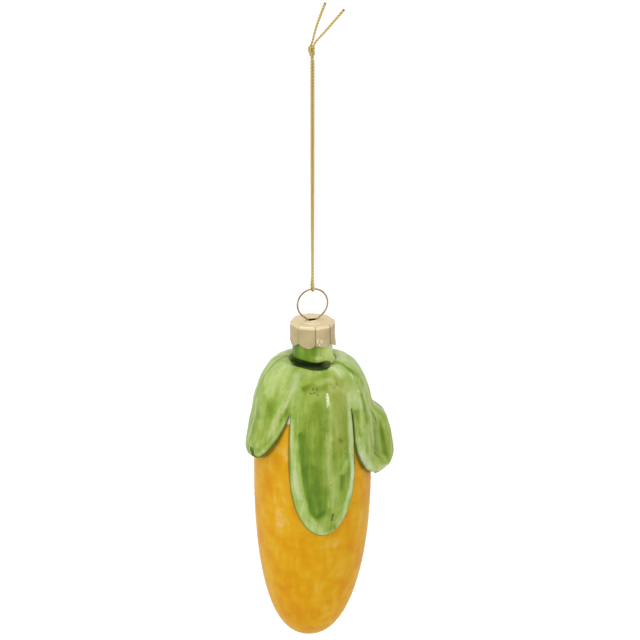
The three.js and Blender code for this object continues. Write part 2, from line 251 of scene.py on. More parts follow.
# Husk
seat_gap = 0.3 * MM
leaf_split = 0.3 * MM
leaf_middle = 1.4 * MM
leaf_edge = 0.6 * MM
root_hump = 0.5 * MM
rib_height = 0.2 * MM
rib_count = 3
hump_middle = 5 * MM
hump_reach = 9 * MM
bulge_hollow = 0.85
joined_length = 19 * MM  # along the cob, down to where the leaves part
edge_round = 1.2 * MM  # width of the rounded edge of a leaf
root_edge = 0.12 * MM  # thickness at the neck
root_length = 5.5 * MM
moat_fill = 1.0 * MM  # beside the neck, at its left and right
neck_flow = 1.6 * MM  # how far the neck's foot spreads at its right
border_width = 2.2 * MM  # of the flat border inside a leaf's edge
border_step = 0.28 * MM
border_fade = 0.7 * MM
valley_start = 6 * MM  # along, where the leaves start to have separate edges
seat_root = 2.5 * MM  # length over which a leaf rises from the neck to its gap
split_fade = 1.5 * MM  # over which the gap between two leaves opens
least_gap = 0.02 * MM
moat_fade = 1.2 * MM
moat_middle = (0.3, 2.2)  # along and half width, in mm
moat_sides = (54, 16)  # degrees from the front where the fill starts, and over how many it comes
hem_points = 25  # of a hem's line where it shades the cob
paint_radius = 21  # in mm, of the cob as the paint's noise sees it

# The smooth patch in the middle of the front, under the neck: azimuth and half width, along and half
# length in mm, strength
calm_form = (16, 16, 14, 7, 0.92)
calm_paint = (18, 9, 14, 6, 0.85)
joined_edge = 0.3  # thickness left at an edge where two leaves are joined, against the leaf
hand_waves = [(5, 0.14 * MM, 15 * MM), (6, 0.05 * MM, 5 * MM)]  # seed, height and length

# The dark crescent of painted shade round the neck's foot: its upper and lower edge (azimuth, along in mm)
shadow_top = [
    (-100, -5.4), (-80, -4.2), (-67, -3.3), (-47, -3.4), (-28, -3.4), (-7, -2.9), (13, -2.5), (24, -2.6),
    (35, -2.8), (47, -2.6), (56, -2.0), (66, -1.4),
]
shadow_foot = [
    (-100, -2.6), (-80, -1.6), (-65, -0.7), (-44, 0.6), (-30, 1.8), (-15, 2.8), (-4, 3.5), (4, 3.8),
    (13, 3.95), (22, 3.75), (33, 3.3), (66, 2.6),
]
shadow_end = [(-3, 58), (-1.5, 60), (0, 51), (1.1, 43), (2.8, 32), (3.5, 26)]  # along in mm, azimuth

# How deep each leaf's hem shades the cob beside it
hem_shades = {"front_leaf": 0.75, "right_leaf": 0.5, "right_rear_leaf": 0.5, "left_leaf": 0.6}

# The crease between the right leaf and the lobe behind it, and the wrinkles beside it
crease_azimuth = 79
crease_end = 42  # along the cob, in mm
crease_folds = [  # points (azimuth, along in mm), half width in mm, depth in mm
    ([(77, 17), (79, 24), (79.5, 34), (81, 42)], 0.8, 0.9),
    ([(70, 33), (74, 38), (79, 42)], 0.5, 0.3),
    ([(66, 35), (70, 40), (76, 44)], 0.5, 0.22),
    ([(74, 29), (77, 33), (80, 37)], 0.45, 0.25),
]

# Brush strokes on the husk: channel, points (azimuth, along in mm), half width in mm, value, strength
husk_strokes = [
    # the front leaf, from its left edge to its right edge
    ("tone", [(-21, 22), (-19, 32), (-17, 43)], 1.3, 0.62, 0.8),
    ("tone", [(-15, 38), (-13, 47), (-8, 55), (-3, 59), (5, 62.5)], 1.7, 0.74, 0.85),
    ("milky", [(-16.5, 40), (-15, 45.5), (-12, 49.5)], 1.0, 0.55, 0.8),
    ("tone", [(-11, 26), (-8.5, 36), (-5, 46), (-1, 53), (3, 57)], 1.0, 0.02, 0.85),
    ("olive", [(-11, 26), (-8.5, 36), (-5, 46), (3, 57)], 1.2, 0.0, 0.8),
    ("tone", [(7.5, 56.2), (10, 55.5)], 0.9, 0.0, 0.9),
    ("mark", [(7.6, 56.3), (9.6, 55.6)], 0.5, 0.35, 0.8),
    ("mark", [(18.8, 56.3), (17.7, 58.8)], 0.28, 0.9, 0.9),
    ("tone", [(-5.5, 22), (-3, 33), (-1.5, 43), (3, 51)], 1.6, 0.22, 0.75),
    ("tone", [(3.7, 16), (5, 30), (5, 44), (7, 52)], 1.8, 0.26, 0.75),
    ("olive", [(4, 14), (5, 44)], 2.5, 0.5, 0.6),
    ("tone", [(-1, 40), (2, 47), (6, 55)], 3.0, 0.04, 0.7),
    ("olive", [(-8, 40), (1, 50), (6, 56)], 3.2, 0.05, 0.7),
    ("tone", [(15, 26), (16, 37), (17, 47), (16.5, 53)], 1.0, 0.62, 0.75),
    ("olive", [(15, 26), (17, 52)], 1.0, 0.9, 0.8),
    ("tone", [(19.5, 15), (17.7, 22), (18.5, 28)], 0.8, 0.75, 0.6),
    ("tone", [(27, 14), (26.5, 23), (25.5, 33)], 2.2, 0.4, 0.7),
    ("olive", [(27, 12), (26, 32)], 3.0, 0.95, 0.8),
    ("tone", [(25.6, 28.3), (27.3, 29.4)], 0.7, 0.05, 0.8),
    ("tone", [(24, 33), (25.5, 42), (26, 47)], 1.5, 0.34, 0.75),
    ("tone", [(26, 50), (22, 57)], 1.5, 0.6, 0.6),
    ("tone", [(27.3, 42.5), (26.4, 46.5)], 0.7, 0.08, 0.6),
    ("tone", [(28, 41), (32, 37.5)], 0.9, 0.8, 0.6),
    ("tone", [(42, 13.5), (39, 24), (38.5, 33), (40, 43)], 1.2, 0.85, 0.8),
    ("milky", [(39.5, 20), (39, 33), (40, 44)], 0.9, 0.35, 0.8),
    ("tone", [(40, 43), (36, 50), (31, 55.5), (24, 60)], 1.2, 0.85, 0.8),
    # painted shadow in the gap at the front leaf's right edge and under its left edge
    ("mark", [(44.4, 18.8), (44.2, 30), (44.3, 39)], 0.4, 0.85, 0.9),
    ("mark", [(-23.2, 20), (-22.4, 32), (-20.8, 42)], 0.3, 0.5, 0.8),
    # the left leaf
    ("tone", [(300, 17), (308, 18.5)], 1.6, 0.3, 0.7),
    ("tone", [(334, 12), (326.6, 18.8), (318, 27), (307, 33)], 1.2, 0.78, 0.55),
    ("olive", [(334, 12), (326.6, 18.8), (318, 27), (307, 33)], 1.2, 0.7, 0.7),
    ("tone", [(332, 18.5), (328, 25), (320, 31.5)], 1.0, 0.2, 0.75),
    ("tone", [(285.5, 18.5), (290, 25.5), (288, 32)], 1.3, 0.75, 0.6),
    ("tone", [(298, 15), (296, 22), (297, 27)], 2.4, 0.38, 0.6),
    ("mark", [(298, 34.7), (301, 37), (308, 37.6)], 0.5, 0.9, 0.95),
    ("mark", [(301.4, 34.3), (301.8, 37)], 0.25, 0.9, 0.9),
    ("milky", [(294, 33), (303, 35.5)], 0.9, 0.3, 0.5),
    ("tone", [(303, 20), (305, 26), (311, 31)], 2.0, 0.46, 0.6),
    ("tone", [(333, 21), (331, 26)], 1.3, 0.35, 0.6),
    # the left shoulder, with painted sheen, painted reflection and painted shade
    # painted sheen: pale strokes where the light falls on the top of the shoulder
    ("tone", [(301, 4.3), (308, 9), (307, 13)], 2.6, 0.88, 0.7),
    ("tone", [(309, 1.7), (319, 6.2), (322, 10)], 2.0, 0.85, 0.6),
    ("tone", [(285, 5), (300, 12), (300, 20)], 2.5, 0.72, 0.5),
    # painted reflection: a pale grey patch at the front of the shoulder, in the next two strokes
    ("milky", [(337.2, 6.6), (336.6, 9.6)], 1.6, 0.34, 0.8),
    ("milky", [(-20.4, 6.5), (-23.4, 10)], 0.9, 0.4, 0.7),
    ("milky", [(336, 11), (333, 14.7), (329, 19)], 0.45, 0.6, 0.6),
    # painted shade: a thin dark line near the shoulder's left edge; then painted reflection: a pale rim down
    # that edge
    ("mark", [(262, 0.5), (278.5, 3), (287.4, 6.2), (287.4, 9.7), (284.6, 13)], 0.28, 0.6, 0.8),
    ("milky", [(242, 3.6), (260, 6.5), (270.6, 10), (273.6, 14.5), (275, 20)], 1.3, 0.6, 0.6),
    # round the foot of the neck and under it
    ("tone", [(-17, 6), (2, 6.6), (18, 6)], 1.2, 0.4, 0.7),
    # painted reflection: the pale band of a softbox's reflection
    ("tone", [(9, 7.4), (25, 7.6)], 0.8, 0.82, 0.5),
    ("tone", [(-9, 9.8), (0, 9.0), (6, 10.2), (15, 9.2)], 1.0, 0.2, 0.6),
    ("tone", [(-10, 10), (-6, 9.4)], 0.6, 0.05, 0.8),
    ("olive", [(-5, 10), (12, 11)], 2.0, 0.8, 0.6),
    ("mark", [(-3, 11.2), (-0.6, 11.4)], 0.2, 0.85, 0.8),
    ("mark", [(0.4, 10.2), (1.2, 9.7)], 0.22, 0.9, 0.8),
    ("mark", [(1.4, 11.3), (3.4, 10.9)], 0.24, 0.9, 0.8),
    ("mark", [(4.8, 10.3), (5.4, 9.6)], 0.2, 0.8, 0.8),
    ("mark", [(5.2, 11.6), (6.2, 12)], 0.22, 0.8, 0.7),
    ("mark", [(21, 8.6), (22.4, 9)], 0.18, 0.7, 0.7),
    ("mark", [(24, 10.2), (25.2, 9.8)], 0.2, 0.7, 0.7),
    ("mark", [(29, 8.8), (30, 9.4)], 0.18, 0.7, 0.7),
    # the right shoulder
    ("tone", [(36, 3.6), (40, 5.6)], 2.0, 0.85, 0.6),
    ("tone", [(32, 7.4), (36, 9)], 1.3, 0.3, 0.4),
    ("tone", [(60, 1), (57.6, 4.6), (62.4, 6.8), (66, 9)], 0.9, 0.15, 0.75),
    ("tone", [(68, 7.4), (69.5, 12.5)], 0.9, 0.5, 0.6),
    ("tone", [(120, 2.1), (100, 1.7), (75, 2)], 1.5, 0.95, 0.7),
    ("tone", [(48, 4.3), (49.3, 7.4)], 2.0, 0.65, 0.5),
    ("milky", [(57, 7.4), (57, 8.4)], 0.35, 0.9, 0.9),
    ("olive", [(40, 1), (52, 6)], 3.5, 0.0, 0.8),
    ("tone", [(46, 1.5), (44, 5)], 2.6, 0.88, 0.6),
    ("olive", [(30, 9), (42, 14)], 3.0, 0.9, 0.7),
    # the right leaf
    ("tone", [(57.6, 13.8), (56, 20), (53.3, 27)], 0.8, 0.85, 0.7),
    ("tone", [(67.8, 16), (69.6, 23.6)], 0.7, 0.82, 0.7),
    ("tone", [(49.3, 19.4), (48.6, 25), (49, 31)], 0.8, 0.28, 0.7),
    ("tone", [(61.3, 15), (62, 25.3)], 0.7, 0.26, 0.6),
    ("tone", [(50.5, 30.7), (52, 36.4), (58.5, 40.3), (66, 42)], 1.3, 0.85, 0.7),
    ("milky", [(51, 36), (56, 40)], 1.2, 0.6, 0.7),
    # painted shade in the wrinkle beside the crease
    ("mark", [(70, 33), (74, 38), (79, 42)], 0.22, 0.4, 0.8),
    ("tone", [(79, 44.2), (67, 43.7), (59, 41.7)], 1.0, 0.8, 0.7),
]

# Strokes down the lobe's steep flank: channel, points (azimuth, along in mm) from the top down, half
# width in degrees, length of the fade at its ends in mm, value, strength
flank_strokes = [
    ("tone", [(90, 25), (87.6, 32), (87.2, 38), (85.8, 43)], 0.8, 5, 0.8, 0.7),
    ("tone", [(82.3, 28), (82.5, 33.4), (83.0, 36.5), (83.8, 42)], 1.2, 6, 0.0, 0.9),
    ("tone", [(81.9, 26), (81.6, 31.6), (81.6, 34.8), (82.0, 39)], 0.3, 6, 0.8, 0.5),
    # painted shade: dark lines down the crease
    ("mark", [(80, 17), (81.3, 24), (81.2, 28)], 0.22, 3, 0.8, 0.9),
    ("mark", [(81, 28), (80.6, 31), (80.4, 34), (80.7, 37), (81.2, 40)], 0.25, 6, 0.4, 0.7),
]
stroke_softness = 0.55
free_strokes = 90  # random ones on the back and the sides of the husk

# Leaves: from one azimuth to another, lengths along the cob and bulge in mm. Most share the first row.
even = {"tip_at": 0, "side_power": 2, "bulge_at": 0, "sudden": 0, "onset": 1}
husk_leaves = {
    "front_leaf": {
        **even, "from": -23.5, "to": 45, "length": 65, "round_end": 27,
        "bulge": 0.5, "start": 15, "peak": 45,
    },
    "right_leaf": {
        **even, "from": 45, "to": 79, "length": 45.9, "round_end": 16, "tip_at": 1,
        "bulge": 0.6, "start": 15, "peak": 38,
    },
    "right_rear_leaf": {
        "from": 79, "to": 140, "length": 47.5, "round_end": 15, "tip_at": -0.68, "side_power": 1.95,
        "bulge": 6.6, "start": 21.6, "peak": 40, "bulge_at": -0.35, "sudden": 0.6, "onset": 6,
    },
    "back_leaf": {
        **even, "from": 140, "to": 212, "length": 61, "round_end": 25,
        "bulge": 0.5, "start": 15, "peak": 42,
    },
    "left_rear_leaf": {
        **even, "from": 212, "to": 256, "length": 44, "round_end": 10,
        "bulge": 1.4, "start": 16, "peak": 36,
    },
    "left_leaf": {
        **even, "from": 256, "to": 336.5, "length": 38.6, "round_end": 19.5, "side_power": 1.1,
        "bulge": 2.5, "start": 22.5, "peak": 37,
    },
}

# Which leaves are one patch of points, in their order round the cob
leaf_patches = [
    ["front_leaf"], ["right_leaf", "right_rear_leaf"], ["back_leaf"], ["left_rear_leaf"], ["left_leaf"],
]

# Colours: red, green and blue from 0 to 255, as on the screen. In a ramp each has its place first.
thread_ramp = [(0, 168, 142, 62), (1, 238, 214, 134)]
thread_fleck = (236, 214, 156)
thread_gap_shade = (92, 72, 8)
wire_ramp = [(0, 138, 114, 70), (1, 174, 148, 100)]
foil_ramp = [(0, 174, 157, 118), (1, 188, 171, 132)]
foil_top_light = (226, 208, 170)
foil_crease_shade = (96, 72, 34)
foil_fine_scratch_glint = (240, 228, 196)
foil_scratch_glint = (250, 242, 218)
husk_green = [
    (0, 78, 115, 10), (0.25, 108, 141, 24), (0.5, 140, 168, 60), (0.75, 168, 193, 107), (1, 203, 219, 160),
]
husk_yellow = [
    (0, 104, 124, 12), (0.25, 130, 144, 36), (0.5, 154, 166, 70), (0.75, 178, 188, 110), (1, 206, 214, 158),
]
# Milky pale paint, which some strokes use for painted reflection
husk_milky_and_reflection = (206, 214, 172)
husk_speck = (66, 96, 16)
# Colour of the dark marks, most of which are painted shade at edges, gaps, creases and the neck's foot
husk_mark_and_shade = (36, 54, 16)
corn_gold = [
    (0, 210, 138, 0), (0.3, 214, 150, 0), (0.6, 218, 162, 8), (0.85, 221, 171, 44), (1, 226, 180, 94),
]
corn_seam = (205, 136, 0)
corn_shade = (104, 92, 12)
neck_green = [(0, 86, 124, 0), (0.4, 116, 150, 26), (0.75, 154, 182, 72), (1, 200, 216, 130)]
neck_bare = (214, 222, 200)
neck_inside = (224, 196, 132)
# Colour of the painted shade on the glass
neck_painted_shade = (30, 44, 16)

# Floor, sky and lamps
floor_half = 12
floor_height = -0.45
floor_glow = 0.35
sky_light = 0.75  # where nothing sees the sky itself, against 1
lamp_target = (0, 0, -0.16)
lamps = [  # name, place, target, width and height, power, whether it gives diffuse light, and gloss
    ("strip", (0.785, -1.2, 0.31), lamp_target, (0.12, 0.3), 5.5, False, True),
    ("top", (-0.3, -0.2, 1.3), lamp_target, (1.0, 0.8), 7, True, True),
    ("left", (-1.4, -0.8, 0.1), lamp_target, (0.8, 1.2), 5, True, True),
    ("low", (0.1, -1.3, -0.4), (0, 0, -0.2), (1.0, 0.3), 2.4, True, False),
    ("right", (1.4, -0.6, 0.0), lamp_target, (0.8, 1.2), 2.4, True, False),
]


def smooth(value):
    """Smoothly from 0 to 1 while the value goes from 0 to 1, and held at both ends."""
    clamped = np.clip(value, 0, 1)
    return clamped * clamped * (3 - 2 * clamped)


def rise(value, start, over):
    """0 up to a start, then smoothly up to 1 over a length."""
    return smooth((value - start) / over)


def fall(value, start, over):
    """1 up to a start, then smoothly down to 0 over a length."""
    return 1 - smooth((value - start) / over)


def band(value, start, rise_over, end, fall_over):
    """1 between a start and an end and 0 outside them, with soft sides of these widths inside."""
    return smooth((value - start) / rise_over) * smooth((end - value) / fall_over)


def bell(value, middle, width, power=2):
    """1 at a middle, dying away to both sides."""
    return np.exp(-((value - middle) / width) ** power)


def wrapped(azimuth):
    """The same azimuth between -180 and 180 degrees."""
    return (azimuth + 180) % 360 - 180


def unit(vectors):
    """Vectors (n, 3) with the same directions and a length of 1."""
    return vectors / np.linalg.norm(vectors, axis=1)[:, None]


def colour(red, green, blue):
    """A colour given as 0 to 255 on the screen, as Blender's linear colour."""
    shares = [value / 255 for value in (red, green, blue)]
    return (*(((share + 0.055) / 1.055) ** 2.4 if share > 0.04 else share / 12.92 for share in shares), 1)


def waves(seed, points, scale, octaves=3):
    """Smooth noise between about -1 and 1 at points (n, 3), made of a few random plane waves."""
    random = np.random.default_rng(seed)
    total = np.zeros(len(points))
    weight = 1.0
    for octave in range(octaves):
        for _ in range(wave_count):
            direction = random.normal(size=3)
            direction *= 2 ** octave / (scale * np.linalg.norm(direction))
            total += weight * np.sin(points @ direction * 2 * math.pi + random.uniform(0, 2 * math.pi))
        weight *= 0.5
    return total / 4.5


def wave_sum(points, layers):
    """Several layers of smooth noise, each with a seed, a height and a length."""
    return sum(height * waves(seed, points, length, 2) for seed, height, length in layers)


def in_scene(name, data):
    """A new object in the scene."""
    item = bpy.data.objects.new(name, data)
    bpy.context.scene.collection.objects.link(item)
    return item


def aim(item, place, direction):
    """Puts a camera or a lamp in its place and turns it."""
    item.location = place
    item.rotation_euler = direction.to_track_quat("-Z", "Y").to_euler()


# Camera

def make_camera():
    data = bpy.data.cameras.new("camera")
    data.sensor_width = sensor_width
    data.lens = sensor_width * camera_distance / picture_width
    data.clip_end = camera_reach
    camera = in_scene("camera", data)
    angle = math.radians(camera_elevation)
    back = Vector((0, -math.cos(angle), math.sin(angle)))
    aim(camera, picture_middle + back * camera_distance, -back)
    bpy.context.scene.camera = camera
    bpy.context.scene.view_settings.view_transform = "Standard"


make_camera()


# Meshes

def add_mesh(name, points, faces, body, replaced):
    mesh = bpy.data.meshes.new(name)
    mesh.from_pydata(np.asarray(points, dtype=float).tolist(), [], faces)
    mesh.polygons.foreach_set("use_smooth", [True] * len(mesh.polygons))
    mesh.update()
    piece = in_scene(name, mesh)
    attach(piece, body)
    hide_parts(*replaced)
    return piece


def set_numbers(piece, **channels):
    """A number for each point, under each name that a material reads."""
    for name, values in channels.items():
        data = piece.data.attributes.new(name, "FLOAT", "POINT")
        data.data.foreach_set("value", np.asarray(values, dtype=float).ravel())


def set_vectors(piece, name, x, y, z=0):
    """A vector for each point, under a name that a material reads."""
    data = piece.data.attributes.new(name, "FLOAT_VECTOR", "POINT")
    vectors = np.stack(np.broadcast_arrays(x, y, z), axis=1).astype(float)
    data.data.foreach_set("vector", vectors.ravel())


def ring_at(angles, radius, height):
    """Points round the Z axis, from the front towards +X."""
    height = np.broadcast_to(height, angles.shape)
    return np.stack([radius * np.sin(angles), -radius * np.cos(angles), height], axis=1)


def round_angles(count):
    return np.linspace(0, 2 * math.pi, count, endpoint=False)


def blend(t, start, end, a, b):
    """The point at t on a straight line from a at the start to b at the end."""
    return (end - t) / (end - start) * a + (t - start) / (end - start) * b


def ring_faces(rows, columns, closed_rows=False):
    """Faces between rows of points that each close on themselves."""
    faces = []
    for i in range(rows if closed_rows else rows - 1):
        this_row = i * columns
        next_row = ((i + 1) % rows) * columns
        for j in range(columns):
            k = (j + 1) % columns
            faces.append((this_row + j, next_row + j, next_row + k, this_row + k))
    return faces


def route_line(points, step):
    """Evenly spaced points on a smooth centripetal curve through the given points."""
    points = [np.array(p, dtype=float) for p in points]
    points = [2 * points[0] - points[1]] + points + [2 * points[-1] - points[-2]]
    line = []
    for p0, p1, p2, p3 in zip(points, points[1:], points[2:], points[3:]):
        t1 = np.linalg.norm(p1 - p0) ** 0.5
        t2 = t1 + np.linalg.norm(p2 - p1) ** 0.5
        t3 = t2 + np.linalg.norm(p3 - p2) ** 0.5
        for t in np.linspace(t1, t2, route_steps, endpoint=False):
            a1 = blend(t, 0, t1, p0, p1)
            a2 = blend(t, t1, t2, p1, p2)
            a3 = blend(t, t2, t3, p2, p3)
            b1 = blend(t, 0, t2, a1, a2)
            b2 = blend(t, t1, t3, a2, a3)
            line.append(blend(t, t1, t2, b1, b2))
    line.append(points[-2])
    return spaced(np.array(line), step)


def spaced(line, step):
    """The same line with points a step apart."""
    lengths = np.concatenate([[0], np.cumsum(np.linalg.norm(np.diff(line, axis=0), axis=1))])
    places = np.linspace(0, lengths[-1], max(2, round(lengths[-1] / step) + 1))
    return np.stack([np.interp(places, lengths, line[:, k]) for k in range(3)], axis=1)


def line_length(line):
    return float(np.linalg.norm(np.diff(line, axis=0), axis=1).sum())


def carried_frames(line):
    """Two directions square to a line at each of its points, carried along without twist."""
    tangents = unit(np.gradient(line, axis=0))
    side = np.cross(tangents[0], (0.3, 0.9, 0.1))
    sides = []
    for tangent in tangents:
        side = side - tangent * np.dot(side, tangent)
        side /= np.linalg.norm(side)
        sides.append(side)
    sides = np.array(sides)
    return sides, np.cross(tangents, sides)


def swept(line, section_at):
    """Points and faces of a closed tube. section_at(i) gives the section's points as pairs."""
    sides, ups = carried_frames(line)
    points = []
    for i, middle in enumerate(line):
        section = np.asarray(section_at(i))
        points.append(middle + section[:, :1] * sides[i] + section[:, 1:] * ups[i])
    count = len(points[0])
    faces = [face[::-1] for face in ring_faces(len(line), count)]
    last = (len(line) - 1) * count
    faces += [tuple(reversed(range(count))), tuple(range(last, last + count))]
    return np.concatenate(points), faces


# Knot

def knot_start():
    """Two strands side by side in a wide overhand knot."""
    t = np.linspace(-wide_reach, wide_reach, knot_points)
    x = t ** 3 - 3 * t
    y = t ** 4 - 4 * t ** 2 + 2
    z = t ** 5 - 10 * t
    turn = math.radians(knot_turn)
    middle = np.stack([
        wide_width * (x * math.cos(turn) - y * math.sin(turn)),
        wide_width * (x * math.sin(turn) + y * math.cos(turn)),
        knot_middle + wide_height * z,
    ], axis=1)
    tangents = unit(np.gradient(middle, axis=0))
    sides = np.cross(tangents, middle - (0, 0, knot_middle))
    for i in range(1, knot_points):
        if np.dot(sides[i], sides[i - 1]) < 0:
            sides[i] *= -1
    sides = unit(sides)
    for _ in range(side_passes):
        sides[1:-1] = sides[:-2] + 2 * sides[1:-1] + sides[2:]
        sides -= tangents * np.sum(sides * tangents, axis=1)[:, None]
        sides = unit(sides)
    apart = wide_apart * knot_spacing
    return middle + sides * apart, middle - sides * apart


def keep_spacing(chain, rest):
    """Moves the neighbours in a strand to their spacing, and straightens the strand a little."""
    for first in (0, 1):
        a = chain[first:-1:2]
        b = chain[first + 1::2][:len(a)]
        step = b - a
        length = np.linalg.norm(step, axis=1)[:, None]
        move = step * (1 - rest / length) / 2
        chain[first:-1:2] += move
        chain[first + 1::2][:len(a)] -= move
    chain[1:-1] += cord_stiffness * ((chain[:-2] + chain[2:]) / 2 - chain[1:-1])


def push_apart(points, first, second):
    """Pushes apart the pairs of points where the cord would run into itself."""
    step = points[second] - points[first]
    length = np.linalg.norm(step, axis=1)
    hit = length < knot_spacing
    if not hit.any():
        return
    push = step[hit] * ((knot_spacing / length[hit] - 1) / 2)[:, None]
    moves = np.zeros_like(points)
    counts = np.zeros(len(points))
    for ends, sign in ((first[hit], -1), (second[hit], 1)):
        np.add.at(moves, ends, sign * push)
        np.add.at(counts, ends, 1)
    points += moves / np.maximum(1, counts / 2)[:, None]


def squeeze(points, reach):
    """Presses the knot together from all sides."""
    aside = points[:, :2] - (knot_aside, 0)
    apart = np.linalg.norm(aside, axis=1)[:, None]
    in_knot = smooth((knot_top - points[:, 2:]) / squeeze_fade)
    points[:, :2] -= aside * np.maximum(0, 1 - reach / apart) * squeeze_share * in_knot


def tie_knot(left_low, left_high, right_low, right_high):
    """Pulls the two strands tight between their ends, which lie on the cord's route."""
    left, right = knot_start()
    count = knot_points
    start_spacing = line_length(left) / (count - 1)
    end_spacing = knot_length / (count - 1)
    points = np.concatenate([left, right])
    strand = np.repeat([0, 1], count)
    place = np.tile(np.arange(count), 2)
    first, second = np.triu_indices(2 * count, 1)
    ends = ((0, left_low), (count - 1, left_high), (count, right_low), (2 * count - 1, right_high))
    for step in range(knot_rounds):
        share = min(1, step / (tight_at * knot_rounds))
        rest = start_spacing + (end_spacing - start_spacing) * share
        skip = math.ceil(near_reach * knot_spacing / rest)
        other = (strand[first] != strand[second]) | (np.abs(place[first] - place[second]) > skip)
        pull = early_pull if step < knot_rounds / 2 else 1
        for index, end in ends:
            points[index] += (np.array(end) - points[index]) * pull
        squeeze(points, knot_reach + squeeze_room * (1 - share))
        for _ in range(knot_passes):
            keep_spacing(points[:count], rest)
            keep_spacing(points[count:], rest)
            push_apart(points, first[other], second[other])
    for index, end in ends:
        points[index] = end
    return points[:count], points[count:]


# Cord

def at_height(line, height):
    """Where a rising or falling line crosses a height."""
    order = np.argsort(line[:, 2])
    return np.array([np.interp(height, line[order, 2], line[order, k]) for k in range(3)])


def cord_lines():
    """The middle lines of the cord's two halves, from the bight's lowest point to the tails' tips."""
    left_strand = route_line(half_bight_route[::-1] + strand_route[::-1], cord_step)
    left_strand[:, 0] *= strand_aside
    strands = [left_strand, left_strand * (-1, -1, 1)]
    tails = [route_line(left_tail_route, cord_step), route_line(right_tail_route, cord_step)]
    left_low, right_low = [at_height(strand, knot_low) for strand in strands]
    left_high, right_high = [at_height(tail, knot_high) for tail in tails]
    knots = tie_knot(left_low, left_high, right_low, right_high)
    halves = []
    for strand, knot, tail in zip(strands, knots, tails):
        below = strand[strand[:, 2] < knot_low]
        above = tail[tail[:, 2] > knot_high]
        line = np.concatenate([below, knot, above])
        halves.append(eased(spaced(line, cord_step)))
    return halves


def eased(line):
    """Rounds the small kinks where two lines meet."""
    for _ in range(ease_passes):
        line[1:-1] += 0.5 * ((line[:-2] + line[2:]) / 2 - line[1:-1])
    return line


def cord_section(turn, size):
    """Two round plies side by side, turned about the cord's middle."""
    angles = round_angles(cord_sides)
    reach = ply_middle * np.abs(np.cos(angles))
    radius = reach + np.sqrt(ply_radius ** 2 - (ply_middle * np.sin(angles)) ** 2)
    return size * np.stack([radius * np.cos(angles + turn), radius * np.sin(angles + turn)], axis=1)


def make_cord(name, line, replaced, material):
    turns = np.arange(len(line)) * (line_length(line) / (len(line) - 1)) * 2 * math.pi / cord_twist
    sizes = 1 + tail_fray * smooth((line[:, 2] - knot_top) / fray_length)
    points, faces = swept(line, lambda i: cord_section(turns[i], sizes[i]))
    piece = add_mesh(name, points, faces, "cord_loop", replaced)
    piece.data.materials.append(material)
    angles = np.tile(round_angles(cord_sides), len(line))
    along = np.repeat(np.arange(len(line)) * cord_step, cord_sides)
    # outward is 0 between the plies, where the thread is painted darker as shade, and at the tails' cut ends,
    # which are darker too
    set_numbers(piece, outward=np.abs(np.cos(angles)) * smooth((along[-1] - along) / dark_end))
    set_vectors(piece, "thread", angles, along / MM)


# Materials

class Nodes:
    """Short calls that add nodes to one material, or to the sky."""

    def __init__(self, owner, main="Principled BSDF"):
        owner.use_nodes = True
        self.owner = owner
        self.tree = owner.node_tree
        self.main = self.tree.nodes[main]

    def put(self, socket, value):
        if isinstance(value, bpy.types.NodeSocket):
            self.tree.links.new(value, socket)
        else:
            socket.default_value = value

    def set(self, **values):
        for name, value in values.items():
            self.put(self.main.inputs[name.replace("_", " ").title().replace("Ior", "IOR")], value)

    def add(self, kind, output, inputs=(), **settings):
        """One output of a new node with these inputs and settings."""
        node = self.tree.nodes.new("ShaderNode" + kind)
        for name, value in settings.items():
            setattr(node, name, value)
        for name, value in dict(inputs).items():
            self.put(node.inputs[name], value)
        return node.outputs[output]

    def attribute(self, name, output="Fac"):
        return self.add("Attribute", output, attribute_name=name)

    def place(self):
        return self.add("TexCoord", "Object")

    def stretched(self, vector, scale):
        return self.add("Mapping", "Vector", {"Vector": vector, "Scale": scale})

    def noise(self, vector, scale=1, detail=3, distortion=0):
        inputs = {"Vector": vector, "Scale": scale, "Detail": detail, "Distortion": distortion}
        return self.add("TexNoise", "Fac", inputs)

    def cells(self, vector, scale):
        return self.add("TexVoronoi", "Distance", {"Vector": vector, "Scale": scale})

    def random_of(self, vector):
        """A random number for each whole step of the vector."""
        steps = self.add("VectorMath", "Vector", {0: vector}, operation="FLOOR")
        return self.add("TexWhiteNoise", "Value", {"Vector": steps})

    def math(self, operation, a, b, clamp=False):
        return self.add("Math", 0, {0: a, 1: b}, operation=operation, use_clamp=clamp)

    def plus(self, a, b):
        return self.math("ADD", a, b)

    def times(self, a, b):
        return self.math("MULTIPLY", a, b)

    def span(self, value, low, high, to_low=0.0, to_high=1.0):
        """The value mapped smoothly from one span to another and held at its ends."""
        inputs = {"Value": value, "From Min": low, "From Max": high, "To Min": to_low, "To Max": to_high}
        return self.add("MapRange", "Result", inputs, interpolation_type="SMOOTHSTEP")

    def swing(self, noise, amount):
        """Noise turned into a number that swings this far to both sides of zero."""
        return self.span(noise, 0.3, 0.7, -amount, amount)

    def mix(self, share, shade, other):
        """A shade with a share of another, or of one of the colours named above."""
        if isinstance(other, tuple):
            other = colour(*other)
        return self.add("Mix", 2, {"Factor": share, 6: shade, 7: other}, data_type="RGBA")

    def ramp(self, value, stops):
        node = self.tree.nodes.new("ShaderNodeValToRGB")
        self.put(node.inputs["Fac"], value)
        elements = node.color_ramp.elements
        stops = [(place, colour(*shade)) for place, *shade in stops]
        elements[0].position, elements[0].color = stops[0]
        elements[1].position, elements[1].color = stops[-1]
        for position, shade in stops[1:-1]:
            elements.new(position).color = shade
        return node.outputs["Color"]

    def bump(self, height, distance, strength):
        return self.add("Bump", "Normal", {"Height": height, "Distance": distance, "Strength": strength})

    def seen(self):
        """1 for what is seen straight, mirrored or through glass, 0 for what only lights things."""
        path = self.tree.nodes.new("ShaderNodeLightPath").outputs
        straight_or_mirrored = self.plus(path["Is Camera Ray"], path["Is Glossy Ray"])
        return self.math("ADD", straight_or_mirrored, path["Is Transmission Ray"], clamp=True)


def new_material(name):
    return Nodes(bpy.data.materials.new(name))


